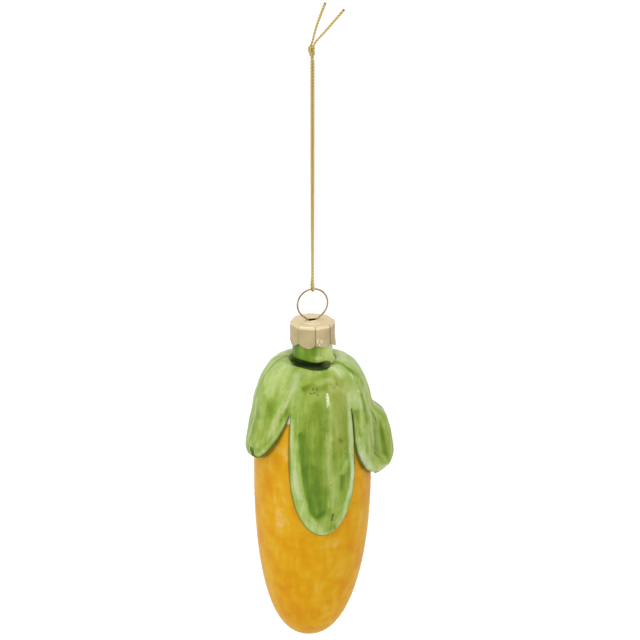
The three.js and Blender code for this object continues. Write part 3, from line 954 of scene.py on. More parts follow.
def gold_thread():
    """Metallic yarn: fine slanting threads, darker with painted shade between the two plies."""
    n = new_material("gold_thread")
    threads = n.noise(n.stretched(n.attribute("thread", "Vector"), (5, 7, 1)), 1, 2)
    flecks = n.noise(n.place(), 2600, 2)
    shade = n.ramp(n.span(threads, 0.35, 0.65), thread_ramp)
    shade = n.mix(n.span(flecks, 0.5, 0.75, 0, 0.6), shade, thread_fleck)
    shade = n.mix(n.span(n.attribute("outward"), 0.1, 0.8, 0.75, 0), shade, thread_gap_shade)
    n.set(base_color=shade, metallic=0.4, roughness=0.55, specular_ior_level=0.2)
    n.set(normal=n.bump(threads, 0.05 * MM, 0.6))
    return n.owner


def make_cords():
    thread = gold_thread()
    left, right = cord_lines()
    left_nodes = ("cord_strand_back", "cord_bight", "cord_knot", "cord_tail_left")
    make_cord("cord_left_half", left, left_nodes, thread)
    make_cord("cord_right_half", right, ("cord_strand_front", "cord_tail_right"), thread)


make_cords()


# Wire hanger

def hanger_line():
    """Up one leg, round the ring and down the other leg, before it is turned about Z."""
    ring_middle = ring_top - ring_radius
    reach = math.hypot(pinch, ring_middle - cap_top)
    leave = math.atan2(pinch, ring_middle - cap_top) + math.acos(ring_radius / reach)
    leg_end = cap_top - leg_length
    cap_under = cap_top - cap_sheet
    half = [
        (leg_spread, 0, leg_end),
        ((leg_spread + pinch) / 2, 0, (leg_end + cap_under) / 2),
        (pinch, 0, cap_under - 2 * wire_radius),
        (pinch, 0, cap_top),
    ]
    for i in range(ring_steps):
        angle = leave + (math.pi - leave) * i / ring_steps
        half.append((ring_radius * math.sin(angle), 0, ring_middle - ring_radius * math.cos(angle)))
    other = [(-x, y, z) for x, y, z in reversed(half)]
    line = route_line(half + [(0, 0, ring_top)] + other, hanger_step)
    turn = math.radians(hanger_turn)
    return np.stack([line[:, 0] * math.cos(turn), line[:, 0] * math.sin(turn), line[:, 2]], axis=1)


def hanger_metal():
    """Drawn wire, gold-coloured, with faint lengthwise dulling."""
    n = new_material("hanger_metal")
    dull = n.noise(n.stretched(n.place(), (900, 900, 220)))
    shade = n.ramp(n.span(dull, 0.35, 0.7), wire_ramp)
    n.set(base_color=shade, metallic=1.0, roughness=n.span(dull, 0.3, 0.7, 0.24, 0.38))
    n.set(normal=n.bump(dull, 0.02 * MM, 0.5))
    return n.owner


def make_hanger():
    line = hanger_line()
    angles = round_angles(hanger_sides)
    section = wire_radius * np.stack([np.cos(angles), np.sin(angles)], axis=1)
    ease = np.ones(len(line))
    ease[[0, -1]] = wire_end
    points, faces = swept(line, lambda i: section * ease[i])
    piece = add_mesh("wire_hanger", points, faces, "hanger", ("hanger_wire",))
    piece.data.materials.append(hanger_metal())


make_hanger()


# Glass outline

def outline_places():
    """Along, radius, height and outward direction from the neck's foot down to the tip."""
    angle = np.linspace(0, math.pi / 2, outline_steps)
    fillet = angle[:-1:fillet_every]
    fillet_r = shoulder_radius - neck_fillet * np.cos(fillet)
    fillet_z = shoulder_z + neck_fillet * (1 - np.sin(fillet))
    crown_r = shoulder_radius + (cob_radius - shoulder_radius) * np.sin(angle) ** (2 / crown_side_power)
    crown_z = shoulder_z - crown_height * (1 - np.clip(np.cos(angle), 0, 1) ** (2 / crown_top_power))
    taper_r = cob_radius * np.clip(np.cos(angle[1:]), 0, 1) ** (2 / taper_side_power)
    taper_z = widest_z - taper_height * np.sin(angle[1:]) ** (2 / taper_end_power)
    r = np.concatenate([fillet_r, crown_r, taper_r])
    z = np.concatenate([fillet_z, crown_z, taper_z])
    along = np.concatenate([[0], np.cumsum(np.hypot(np.diff(r), np.diff(z)))])
    along -= along[len(fillet)]
    step_r = np.gradient(r, along)
    step_z = np.gradient(z, along)
    size = np.hypot(step_r, step_z)
    return along, r, z, -step_z / size, step_r / size


outline = outline_places()
outline_length = outline[0][-1]
fillet_start = outline[0][0]


def glass_point(along, azimuth, off):
    """Points on the glass, or so far off its surface. The azimuth is in radians."""
    r, z, out_r, out_z = (np.interp(along, outline[0], values) for values in outline[1:])
    lean = -tip_lean * (np.maximum(0, widest_z - z) / taper_height) ** 2
    radius = np.maximum(0, r + out_r * off)
    x = radius * np.sin(azimuth) + lean
    return np.stack([x, -radius * np.cos(azimuth), z + out_z * off], axis=-1)


# Brush strokes

def stroke(place, points, half_width, soft):
    """How strongly a brush stroke covers each place: 1 at its middle, half at its half width.

    Places and the stroke's points are (azimuth in degrees, along in mm). The half width is in mm.
    """
    radius = np.interp(place[:, 1] * MM, outline[0], outline[1]) / MM
    degree = radius * math.pi / 180
    nearest = np.full(len(place), 1e9)
    turned = points[0][0] + (place[:, 0] - points[0][0] + 180) % 360 - 180
    for (a1, s1), (a2, s2) in zip(points, points[1:]):
        x1, y1 = (a1 - turned) * degree, s1 - place[:, 1]
        x2, y2 = (a2 - turned) * degree, s2 - place[:, 1]
        dx, dy = x2 - x1, y2 - y1
        t = np.clip(-(x1 * dx + y1 * dy) / np.maximum(dx * dx + dy * dy, 1e-9), 0, 1)
        nearest = np.minimum(nearest, np.hypot(x1 + t * dx, y1 + t * dy))
    return 1 - smooth((nearest / half_width - (1 - soft)) / (2 * soft))


def brush(channels, place, channel, points, half_width, value, strength):
    cover = strength * stroke(place, points, half_width, stroke_softness)
    channels[channel] += (value - channels[channel]) * cover


def brush_down(channels, place, channel, points, half_width, fade, value, strength):
    """A stroke down a steep flank: its width is in degrees and its ends fade over a length."""
    along = place[:, 1]
    middle = np.interp(along, [point[1] for point in points], [point[0] for point in points])
    aside = (place[:, 0] - middle) / half_width
    top, foot = points[0][1], points[-1][1]
    ends = smooth((along - top) / fade + 0.5) * smooth((foot - along) / fade + 0.5)
    channels[channel] += (value - channels[channel]) * strength * ends * np.exp(-aside ** 2)


def foot_shadow(azimuth, along):
    """Painted shade: the dark crescent in the groove round the front of the neck's foot. Along is in mm."""
    azimuth = wrapped(azimuth)
    upper = np.interp(azimuth, *zip(*shadow_top))
    lower = np.interp(azimuth, *zip(*shadow_foot))
    inside = smooth((along - upper) / 0.5 + 0.5) * smooth((lower - along) / 0.7 + 0.5)
    right_end = np.interp(along, *zip(*shadow_end))
    ends = rise(azimuth, -100, 16) * (1 - smooth((azimuth - right_end) / 5 + 0.5))
    # A lighter stripe of painted highlight low inside the shade, and the shade weaker towards both ends
    highlight_stripe = 0.42 * bell(along, 1.4, 0.6) * rise(azimuth, -40, 12) * fall(azimuth, 8, 12)
    weaker_ends = 0.26 * rise(azimuth, 22, 26) + 0.3 * rise(-azimuth, 52, 26)
    return inside * ends * (1 - highlight_stripe) * (1 - weaker_ends)


# Husk

def hem_length(leaf, across):
    """How far down the cob a leaf reaches at a place from -1 to 1 across it."""
    aside = np.abs(across - leaf["tip_at"]) / (1 + abs(leaf["tip_at"]))
    round_off = 1 - np.clip(1 - aside ** 2, 0, 1) ** (1 / leaf["side_power"])
    return (leaf["length"] - leaf["round_end"] * round_off) * MM


def leaf_bulge(leaf, along, across):
    """How far a leaf stands off the glass."""
    length, start, peak, onset = (leaf[key] * MM for key in ("length", "start", "peak", "onset"))
    sudden = leaf["sudden"] * smooth((along - start) / onset)
    climb = sudden + (1 - leaf["sudden"]) * smooth((along - start) / (peak - start))
    past_peak = np.clip((along - peak) / (length - peak), 0, 1)
    aside = np.abs(across - leaf["bulge_at"]) / (1 + abs(leaf["bulge_at"]))
    crest = np.maximum(0, 1 - aside ** 3) * (1 - across ** 8)
    return leaf["bulge"] * MM * climb * np.sqrt(1 - past_peak ** 2) * crest


class LeafPatch:
    """A grid of points on one leaf, or on two that stay joined: rows run down it, columns across."""

    rows_joined = 60
    rows_free = 112
    degrees_a_column = 0.6
    columns_for_lobe = 80
    hem_passes = 16  # that round the corner between two leaves' hems
    lobe_flank = 9  # degrees from the crease to where the lobe stands at its full height
    lobe_run = 24  # degrees from the crease that the lobe runs on into the leaf beside it
    run_above = 8  # mm above the end of the crease, where it starts to
    run_over = 10  # mm
    flank_middle = 5  # degrees from the crease
    flank_density = 5  # how much closer the columns lie on the flank
    flank_width = 0.13  # from -1 to 1 across the patch

    def __init__(self, number, names):
        self.number = number
        self.leaves = [husk_leaves[name] for name in names]
        self.has_lobe = len(names) > 1
        start = self.leaves[0]["from"]
        end = self.leaves[-1]["to"]
        columns = round((end - start) / self.degrees_a_column) + self.columns_for_lobe * self.has_lobe
        spread = self.column_places(start, end, columns)
        degrees = (start + end) / 2 + (end - start) / 2 * spread
        self.leaf_index = np.zeros(columns + 1, dtype=int)
        across = np.zeros(columns + 1)
        self.hem = np.zeros(columns + 1)
        for j, azimuth in enumerate(degrees):
            index = 1 if self.has_lobe and azimuth > self.leaves[0]["to"] else 0
            leaf = self.leaves[index]
            across[j] = (azimuth - (leaf["from"] + leaf["to"]) / 2) / ((leaf["to"] - leaf["from"]) / 2)
            self.leaf_index[j] = index
            self.hem[j] = hem_length(leaf, across[j])
        if self.has_lobe:
            for _ in range(self.hem_passes):
                self.hem[1:-1] = (self.hem[:-2] + 2 * self.hem[1:-1] + self.hem[2:]) / 4
        joined = np.linspace(fillet_start, joined_length, self.rows_joined + 1)
        free = np.sin(math.pi / 2 * np.linspace(0, 1, self.rows_free + 1)[1:])
        self.along = np.concatenate([
            np.repeat(joined[:, None], columns + 1, axis=1),
            joined_length + free[:, None] * (self.hem - joined_length)[None, :],
        ])
        shape = self.along.shape
        self.across = np.broadcast_to(across, shape)
        radius = np.interp(self.along, outline[0], outline[1])
        inset = leaf_split / 2 * smooth((self.along - joined_length) / split_fade) / radius
        self.azimuth = np.radians(np.broadcast_to(degrees, shape)) - inset * spread
        self.edge = self.edge_distance()
        self.bulge = self.find_bulge()
        self.outer, self.inner = self.find_sheets()

    def column_places(self, start, end, columns):
        """From -1 to 1, closer together at both edges and on the flank of the lobe."""
        if not self.has_lobe:
            return np.sin(math.pi / 2 * np.linspace(-1, 1, columns + 1))
        fine = np.linspace(-1, 1, 2001)
        flank = (crease_azimuth + self.flank_middle - (start + end) / 2) / ((end - start) / 2)
        density = 1 / np.sqrt(1.02 - fine ** 2)
        density += self.flank_density * bell(fine, flank, self.flank_width)
        total = np.concatenate([[0], np.cumsum((density[1:] + density[:-1]) / 2)])
        return np.interp(np.linspace(0, total[-1], columns + 1), total, fine)

    def edge_distance(self):
        """Distance of each point to the leaf's free edge."""
        ground = glass_point(self.along, self.azimuth, seat_gap)
        first = self.rows_joined
        free = np.concatenate([ground[first:, 0], ground[-1, 1:-1], ground[first:, -1]])
        distance = np.empty(self.along.shape)
        for i, row in enumerate(ground):
            distance[i] = np.sqrt(((row[:, None, :] - free[None, :, :]) ** 2).sum(axis=2).min(axis=1))
        return distance

    def find_bulge(self):
        bulge = np.zeros(self.along.shape)
        for index, leaf in enumerate(self.leaves):
            own = self.leaf_index == index
            bulge[:, own] = leaf_bulge(leaf, self.along[:, own], self.across[:, own])
        if self.has_lobe:
            bulge = np.maximum(bulge, self.joined_bulge())
        return bulge

    def joined_bulge(self):
        """The lobe's bulge where it runs on into the leaf beside it, under the end of the crease."""
        lobe = self.leaves[1]
        degrees = np.degrees(self.azimuth)
        lower = smooth((self.along / MM - crease_end + self.run_above) / self.run_over)
        start = crease_azimuth - self.lobe_run * lower
        end = crease_azimuth + self.lobe_flank
        flank = smooth((degrees - start) / (end - start))
        level = leaf_bulge(lobe, np.minimum(self.along, self.hem * 0.999), np.full(self.along.shape, -0.6))
        return level * flank * (degrees < end) * lower

    def find_sheets(self):
        """The points of the leaf's outer and inner surface."""
        seat = seat_gap * smooth((self.along - fillet_start) / seat_root) + least_gap
        outer = glass_point(self.along, self.azimuth, seat + self.thickness() + self.bulge)
        inner = glass_point(self.along, self.azimuth, seat + self.bulge * bulge_hollow)
        return outer, inner

    def thickness(self):
        """The leaf's thickness with its ribs, its hump and border, the folds and the rounded edge."""
        down = self.along / MM
        degrees = np.degrees(self.azimuth)
        root = smooth((self.along - fillet_start) / root_length)
        azimuth, width, along, length, strength = calm_form
        calm = 1 - strength * np.exp(-((degrees - azimuth) / width) ** 4 - ((down - along) / length) ** 4)
        valley = smooth((self.along - valley_start) / (joined_length - valley_start))
        rim = 1 - self.across ** 4 * valley
        wave = np.cos(self.across * math.pi * rib_count)
        rib = rib_height * wave * (1 - self.across ** 4) * (1 - (self.along / self.hem) ** 10)
        rib = rib * smooth(self.along / (2 * hump_reach)) * calm
        hump = root_hump * root * np.maximum(0, 1 - np.abs(self.along - hump_middle) / hump_reach)
        body = root_edge + (leaf_edge - root_edge + (leaf_middle - leaf_edge) * rim) * root + rib + hump
        # The hollow beside the neck's foot is filled at its left and right.
        filled = moat_fill * bell(down, *moat_middle) * rise(np.abs(wrapped(degrees)), *moat_sides)
        body += filled * smooth((self.along - fillet_start) / moat_fade)
        step = border_step * (1 - smooth((self.edge - border_width) / border_fade))
        ground = glass_point(self.along.ravel(), self.azimuth.ravel(), 0)
        hand = wave_sum(ground, hand_waves).reshape(self.along.shape) * root * calm
        roll = np.sqrt(1 - np.clip(1 - self.edge / edge_round, 0, 1) ** 2)
        joined = self.rows_joined + 1
        roll[:joined] = np.maximum(roll[:joined], joined_edge)
        return (body - step + hand - self.folds()) * roll

    def folds(self):
        """How deep the crease and the wrinkles beside it are pressed in."""
        depth = np.zeros(self.along.size)
        if self.has_lobe:
            place = np.column_stack([np.degrees(self.azimuth).ravel(), self.along.ravel() / MM])
            for points, half_width, pressed in crease_folds:
                depth = np.maximum(depth, pressed * MM * stroke(place, points, half_width, 1.0))
        return depth.reshape(self.along.shape)


def shared_points(grids, joined, total):
    """For each point of both sheets the point that stands for it.

    Points that two leaves share count as one, and so do the two sheets' points at a free edge.
    """
    owner = np.arange(2 * total)
    for grid, after in zip(grids, grids[1:] + grids[:1]):
        owner[after[:joined + 1, 0]] = grid[:joined + 1, -1]
        owner[total + after[:joined + 1, 0]] = total + grid[:joined + 1, -1]
        rim = np.concatenate([grid[joined + 1:, 0], grid[-1, 1:-1], grid[joined + 1:, -1]])
        owner[total + rim] = rim
    return owner


def sheet_faces(grid, joined, total):
    """The faces of one patch: both sheets, their upper rim and where a free edge starts."""
    a, b, c, d = grid[:-1, :-1], grid[1:, :-1], grid[1:, 1:], grid[:-1, 1:]
    top, after_top = grid[0, :-1], grid[0, 1:]
    left, right = grid[joined:joined + 2, 0], grid[joined:joined + 2, -1]
    return [
        np.stack([a, b, c, d], axis=-1).reshape(-1, 4),
        total + np.stack([a, d, c, b], axis=-1).reshape(-1, 4),
        np.stack([top, after_top, total + after_top, total + top], axis=-1),
        np.array([[left[0], total + left[0], left[1], left[1]]]),
        np.array([[right[0], right[1], right[1], total + right[0]]]),
    ]


def make_husk():
    """One closed sheet of all leaves: they are one ring down to where they part."""
    patches = [LeafPatch(number, names) for number, names in enumerate(leaf_patches)]
    joined = LeafPatch.rows_joined
    grids = []
    total = 0
    for patch in patches:
        grids.append(total + np.arange(patch.along.size).reshape(patch.along.shape))
        total += patch.along.size
    quads = np.concatenate([quad for grid in grids for quad in sheet_faces(grid, joined, total)])
    quads = shared_points(grids, joined, total)[quads]
    used, compact = np.unique(quads, return_inverse=True)
    polygons = [list(dict.fromkeys(quad)) for quad in compact.reshape(quads.shape).tolist()]
    polygons = [corners for corners in polygons if len(corners) > 2]
    sheets = [patch.outer.reshape(-1, 3) for patch in patches]
    sheets += [patch.inner.reshape(-1, 3) for patch in patches]
    piece = add_mesh("husk", np.concatenate(sheets)[used], polygons, "glass_cob", husk_leaves)

    def everywhere(values):
        """One value for each point in use, from one for each point of each patch."""
        return np.tile(np.concatenate([value.ravel() for value in values]), 2)[used]

    azimuth = everywhere(np.degrees(patch.azimuth) for patch in patches)
    along = everywhere(patch.along / MM for patch in patches)
    edge = everywhere(patch.edge / MM for patch in patches)
    leaf = everywhere(patch.number + 0.5 * patch.leaf_index + 0 * patch.along for patch in patches)
    set_vectors(piece, "place", azimuth, along, leaf)
    set_numbers(piece, **painted(azimuth, along, edge))
    piece.data.materials.append(husk_paint())


def painted(azimuth, along, edge):
    """The husk's paint: tone from 0 (deep green) to 1 (pale), and the other channels from 0 to 1."""
    place = np.column_stack([azimuth, along])
    none = np.zeros(len(along))
    spread = np.column_stack([np.radians(azimuth) * paint_radius, along, none])
    warp = waves(11, spread * (1, 0.35, 1), 4.0, 2)
    wavy = place + np.column_stack([0.4 * warp, 0.5 * waves(12, spread, 6.0, 2)])
    tone = 0.46 + 0.10 * waves(13, spread * (1, 0.22, 1), 5.0, 3)
    # Paler under the neck, on the right leaf and the lobe, and deeper on the left leaf
    tone += 0.12 * fall(along, 6, 16)
    tone += 0.1 * band(azimuth, 46, 4, 86, 6) * rise(along, 10, 6)
    tone += 0.1 * band(azimuth, 30, 10, 90, 10) * fall(along, 26, 12)
    tone += 0.06 * band(azimuth, 79, 4, 140, 8)
    tone -= 0.06 * band(azimuth, 262, 10, 332, 8) * rise(along, 14, 8)
    channels = {"tone": tone, "milky": none.copy(), "mark": none.copy()}
    channels["olive"] = 0.25 + 0.3 * waves(14, spread, 16.0, 2)
    random = np.random.default_rng(21)
    for _ in range(free_strokes):
        middle = random.uniform(96, 318)
        top = random.uniform(12, 40)
        points = [(middle, top), (middle + random.normal() * 2, top + random.uniform(6, 18))]
        brush(channels, wavy, "tone", points, random.uniform(0.6, 1.8), random.uniform(0.22, 0.85), 0.5)
    for channel, *rest in husk_strokes:
        brush(channels, place if channel == "mark" else wavy, channel, *rest)
    for channel, *rest in flank_strokes:
        brush_down(channels, place, channel, *rest)
    border = fall(edge, 0.9, 1.1) * rise(along, 19.5, 4)
    channels["tone"] += (0.82 - channels["tone"]) * 0.55 * border
    # Painted shade: a thin dark line along each leaf's free edge, weaker on the right leaf and the lobe, and
    # the painted shade of the crescent round the neck's foot
    edge_shade = 0.75 * fall(edge, 0, 0.55) * rise(along, 19, 2)
    edge_shade *= 1 - 0.6 * band(azimuth, 55, 12, 140, 12)
    channels["mark"] = np.maximum(np.maximum(channels["mark"], edge_shade), foot_shadow(azimuth, along))
    middle, width, down, length, strength = calm_paint
    calm = 1 - strength * bell(azimuth, middle, width) * bell(along, down, length)
    channels["streaky"] = (0.3 + 0.7 * rise(along, 12, 14)) * calm
    channels["specky"] = 1 - band(azimuth, 77, 2, 91, 2)
    return channels


def husk_paint():
    """Green glass paint: brushed streaks over a glossy coat, with small bubbles and specks. Its dark marks
    are mostly painted shade, and some pale strokes are painted sheen and painted reflection.
    """
    n = new_material("husk_paint")
    place = n.attribute("place", "Vector")
    streaky = n.attribute("streaky")
    # The mark channel is mostly painted shade
    mark = n.attribute("mark")
    streaks = n.noise(n.stretched(place, (0.15, 0.05, 3.1)), 1, 4, 0.5)
    fine = n.noise(n.stretched(place, (0.6, 0.22, 3.1)), 1, 3, 0.3)
    clouds = n.noise(n.place(), 190, 3, 0.4)
    tone = n.plus(n.attribute("tone"), n.times(n.swing(streaks, 0.12), streaky))
    tone = n.plus(tone, n.times(n.swing(fine, 0.05), streaky))
    tone = n.plus(tone, n.swing(clouds, 0.08))
    olive = n.math("MAXIMUM", n.attribute("olive"), 0, clamp=True)
    shade = n.mix(olive, n.ramp(tone, husk_green), n.ramp(tone, husk_yellow))
    shade = n.mix(n.attribute("milky"), shade, husk_milky_and_reflection)
    spots = n.cells(n.stretched(place, (0.36, 0.36, 5)), 1.5)
    chance = n.noise(n.stretched(place, (0.12, 0.12, 5)), 1, 1)
    specks = n.times(n.span(spots, 0.1, 0.22, 1, 0), n.span(chance, 0.4, 0.5))
    specks = n.times(specks, n.attribute("specky"))
    shade = n.mix(n.times(specks, 0.75), shade, husk_speck)
    shade = n.mix(mark, shade, husk_mark_and_shade)
    height = n.times(n.plus(streaks, n.times(specks, 0.6)), streaky)
    n.set(base_color=shade, roughness=n.span(mark, 0.1, 0.6, 0.4, 0.75), specular_ior_level=0.1)
    n.set(coat_weight=n.span(mark, 0.1, 0.6, 0.3, 0.03), coat_roughness=0.11)
    n.set(normal=n.bump(height, 0.08 * MM, 0.38))
    return n.owner


make_husk()


# Blown glass: neck and cob

def make_glass():
    angles = round_angles(kernel_rows * kernel_columns)
    columns = len(angles)
    kernel = angles / (2 * math.pi) * kernel_rows
    rows = []
    row_along = []
    for along in np.linspace(outline_length - inner_low, inner_high, inner_rings):
        rows.append(glass_point(np.full(columns, along), angles, inner_off))
        row_along.append(along)
    for radius, z in neck_rings(angles):
        rows.append(ring_at(angles, radius, z))
        row_along.append(shoulder_z - z)
    fullness = np.random.default_rng(3).uniform(0.45, 1.0, (kernel_sizes, kernel_rows))
    fillet = np.linspace(fillet_start, 0, fillet_rings)[1:]
    under_husk = np.linspace(0, husk_covered, covered_rings)[1:]
    cob = np.arange(cob_fine_from, outline_length - tip_gap, cob_step)
    for along in np.concatenate([fillet, under_husk, cob]):
        relief = kernel_relief(along, kernel, fullness)
        rows.append(glass_point(np.full(columns, along), angles, relief))
        row_along.append(along)
    # The last two points close the inside and the outside at the tip.
    points = np.concatenate(rows)
    inner_tip = len(points)
    outer_tip = inner_tip + 1
    tip = glass_point(np.full(2, outline_length), np.zeros(2), 0)
    tip[0, 2] -= inner_off
    points = np.concatenate([points, tip])
    faces = ring_faces(len(rows), columns)
    last = (len(rows) - 1) * columns
    for j in range(columns):
        k = (j + 1) % columns
        faces.append((j, k, inner_tip))
        faces.append((last + k, last + j, outer_tip))
    piece = add_mesh("blown_glass", points, faces, "glass_cob", ("glass_body",))
    along = np.append(np.repeat(np.minimum(row_along, outline_length), columns), [outline_length] * 2)
    azimuth = wrapped(np.degrees(np.append(np.tile(angles, len(rows)), [0, 0])))
    kernel_down = along / kernel_pitch
    kernel_down[-2:] = 0
    set_vectors(piece, "kernel", np.append(np.tile(kernel, len(rows)), [0, 0]), kernel_down)
    set_numbers(piece, **neck_painted(points, along / MM, azimuth))
    set_numbers(piece, **cob_painted(along / MM, azimuth))
    piece.data.materials.append(corn_paint())


def neck_rings(angles):
    """Radius and height of the neck's rings of points, up its bore and down its outside."""
    bore = neck_radius - neck_wall
    yield bore, shoulder_z - neck_fillet
    for z in np.linspace(shoulder_z - neck_fillet, mouth_z - mouth_round, bore_rings)[1:]:
        yield bore, z
    yield bore + mouth_round, mouth_z
    yield neck_radius - mouth_round, mouth_z
    foot_z = shoulder_z + neck_fillet
    degrees = np.degrees(angles)
    sides = sum(share * bell(degrees, middle, width, 4) for middle, width, share in flow_sides)
    fine_z = foot_z + foot_reach
    upper = np.linspace(mouth_z - mouth_round, fine_z, neck_outer_rings)
    lower = np.linspace(fine_z, foot_z, foot_rings)[1:]
    for z in np.concatenate([upper, lower]):
        flow = neck_flow * math.exp(-(z - foot_z) / flow_height) * sides
        yield neck_radius + flow, z


def kernel_relief(along, kernel, fullness):
    """How far the kernels stand off the glass on one ring of points."""
    v = (along - kernel_start) / kernel_pitch
    across = 1 - np.abs(2 * (kernel % 1) - 1) ** 3
    down = 1 - abs(2 * (v % 1) - 1) ** 3
    size = fullness[int(v) % kernel_sizes, kernel.astype(int) % kernel_rows]
    relief = kernel_depth * (across * down * size - 1) * smooth((along - kernel_start) / kernel_fade)
    return relief * smooth((outline_length - along) / plain_tip)


def neck_painted(points, along, azimuth):
    """Where the glass is green, pale or bare, where painted light falls on the neck and where painted shade
    darkens it. Along is in mm and below zero on the neck.
    """
    z = points[:, 2]
    height = (z - shoulder_z) / MM
    outside = np.hypot(points[:, 0], points[:, 1]) > neck_radius - 0.5 * MM
    neck = along < 0.3
    across = np.degrees(np.arcsin(np.sin(np.radians(azimuth))))
    # Bare glass at the mouth, and a pale notch where the front leaf and the left leaf part
    mouth = smooth((z - mouth_z + 2.2 * MM) / (0.8 * MM)) * neck
    notch = bell(azimuth, -26, 5) * fall(along, 22.6, 0.7) * rise(along, 17, 2)
    # Painted light: the neck gets lighter from left to right, as if lit from the right, with a darker streak
    # and a painted highlight spot in front
    light = 0.14 + 0.56 * rise(across, -26, 84) - 0.26 * rise(-across, 26, 30)
    light = light - 0.18 * bell(azimuth, 3, 8) * rise(height, 4.6, 1.2)
    highlight_spot = bell(azimuth, 17, 7) * bell(height, 4.1, 0.45)
    # A dark line of painted shade low at its left edge, where the glass's edge looks dark
    left_edge_shade = 0.7 * band(-azimuth, 74, 8, 112, 8) * fall(height, 10, 4)
    # The dark channel is painted shade: the crescent round the neck's foot and the line at its left edge
    dark = np.maximum(foot_shadow(azimuth, along), left_edge_shade)
    return {
        "inside": neck & ~outside,
        "bare": np.maximum(np.where(outside, 0.7 * mouth, 0.8 * neck), notch),
        "green": np.maximum(neck, fall(along, 16, 2)),
        "light": np.where(neck, light + 0.8 * highlight_spot, 0.45),
        "dark": dark * outside * (along < 1),
    }


def cob_painted(along, azimuth):
    """The tone of the cob's gold, its seams between kernels and its painted shadow beside the leaves' hems.
    """
    v = (along * MM - kernel_start) / kernel_pitch
    u = azimuth / 360 * kernel_rows
    beside = smooth(1 - np.abs((u + 0.5) % 1 - 0.5) / 0.14)
    between = smooth(1 - np.abs((v + 0.5) % 1 - 0.5) / 0.2)
    seam = 0.07 * np.maximum(beside, between) * (along * MM > kernel_start)
    # The gold is deeper towards the cob's left and right sides as seen from the front, and towards its tip
    left = 0.2 * rise(-azimuth, 50, 40) * (azimuth > -90)
    right = 0.06 * rise(azimuth, 50, 40) * (azimuth < 90)
    channels = {"gold_tone": 0.42 - left - right - 0.12 * rise(along, 95, 20)}
    place = np.column_stack([azimuth, along])
    for points, half_width, value, strength in cob_strokes:
        brush(channels, place, "gold_tone", points, half_width, value, strength)
    shade = np.zeros(len(along))
    for name, depth in hem_shades.items():
        leaf = husk_leaves[name]
        hem = []
        for across in np.linspace(-1, 1, hem_points):
            hem_azimuth = leaf["from"] + (leaf["to"] - leaf["from"]) * (across + 1) / 2
            hem.append((hem_azimuth, hem_length(leaf, across) / MM))
        hem = [(hem[0][0], 20)] + hem + [(hem[-1][0], 20)]
        shade = np.maximum(shade, depth * stroke(place, hem, 0.5, 0.8))
    return {**channels, "seam": seam, "shade": shade}


def corn_paint():
    """Golden paint on the cob, green paint on the neck and bare glass at its mouth, with painted light on the
    neck and painted shade beside the leaves' hems and round the neck's foot.
    """
    n = new_material("corn_paint")
    green = n.attribute("green")
    blotches = n.noise(n.place(), 85, 3, 0.5)
    washes = n.noise(n.stretched(n.place(), (1, 1, 0.45)), 240, 4, 0.8)
    tone = n.plus(n.swing(blotches, 0.26), n.swing(washes, 0.2))
    tone = n.plus(tone, n.times(n.random_of(n.attribute("kernel", "Vector")), 0.2))
    tone = n.plus(tone, n.attribute("gold_tone"))
    gold = n.mix(n.attribute("seam"), n.ramp(tone, corn_gold), corn_seam)
    gold = n.mix(n.attribute("shade"), gold, corn_shade)
    streaks = n.noise(n.stretched(n.place(), (260, 260, 90)), 1, 3, 0.5)
    neck = n.ramp(n.span(n.plus(streaks, n.attribute("light")), 0.3, 1.2), neck_green)
    shade = n.mix(green, gold, neck)
    shade = n.mix(n.attribute("bare"), shade, neck_bare)
    shade = n.mix(n.attribute("inside"), shade, neck_inside)
    shade = n.mix(n.attribute("dark"), shade, neck_painted_shade)
    n.set(base_color=shade, normal=n.bump(washes, 0.06 * MM, 0.5))
    n.set(roughness=0.45, specular_ior_level=0.1, coat_weight=n.span(green, 0, 1, 0.05, 0.35))
    n.set(coat_roughness=0.09)
    return n.owner


make_glass()


# Foil cap

def cap_profile():
    """Radius, height and share of the skirt's height, from the hole over the top to the hem and back."""
    hem_z = cap_top - cap_height
    boss_z = cap_top + boss_height
    boss_edge = boss_radius - boss_inset
    outside = [(hole_radius + out * MM, boss_z + up * MM, 0) for out, up in lip_profile]
    outside += [(r, boss_z, 0) for r in np.linspace(hole_radius + lip_foot, boss_edge, 8)]
    for share in (0.25, 0.5, 0.75, 1):
        step = boss_height * (1 - float(smooth(share)))
        outside.append((boss_edge + boss_slope * share, cap_top + step, 0))
    under_from = len(outside)
    for r in np.linspace(boss_radius + boss_slope, cap_radius - corner_in, 12):
        slope = (r - boss_radius) / (cap_radius - boss_radius)
        outside.append((r, cap_top - top_drop * slope ** 2, 0))
    edge_z = outside[-1][1]
    for i in range(1, corner_steps + 1):
        angle = math.pi / 2 * i / corner_steps
        r = cap_radius - corner_in * (1 - math.sin(angle))
        outside.append((r, edge_z - corner_down * (1 - math.cos(angle)), corner_share * i / corner_steps))
    top = outside[-1][1]
    for share in np.linspace(0, 1, skirt_rows)[1:]:
        petal_share = corner_share + (1 - corner_share) * share
        outside.append((cap_radius, top + (hem_z - top) * share, petal_share))
    turn = [(cap_radius - cap_sheet / 2, hem_z - hem_round, 1)]
    inside = []
    for r, z, share in reversed(outside[under_from:]):
        inside.append((r - cap_sheet, z - (cap_sheet if share <= corner_share else 0), share))
    inside.append((hole_radius + hole_inside, cap_top - cap_sheet, 0))
    return outside + turn + inside


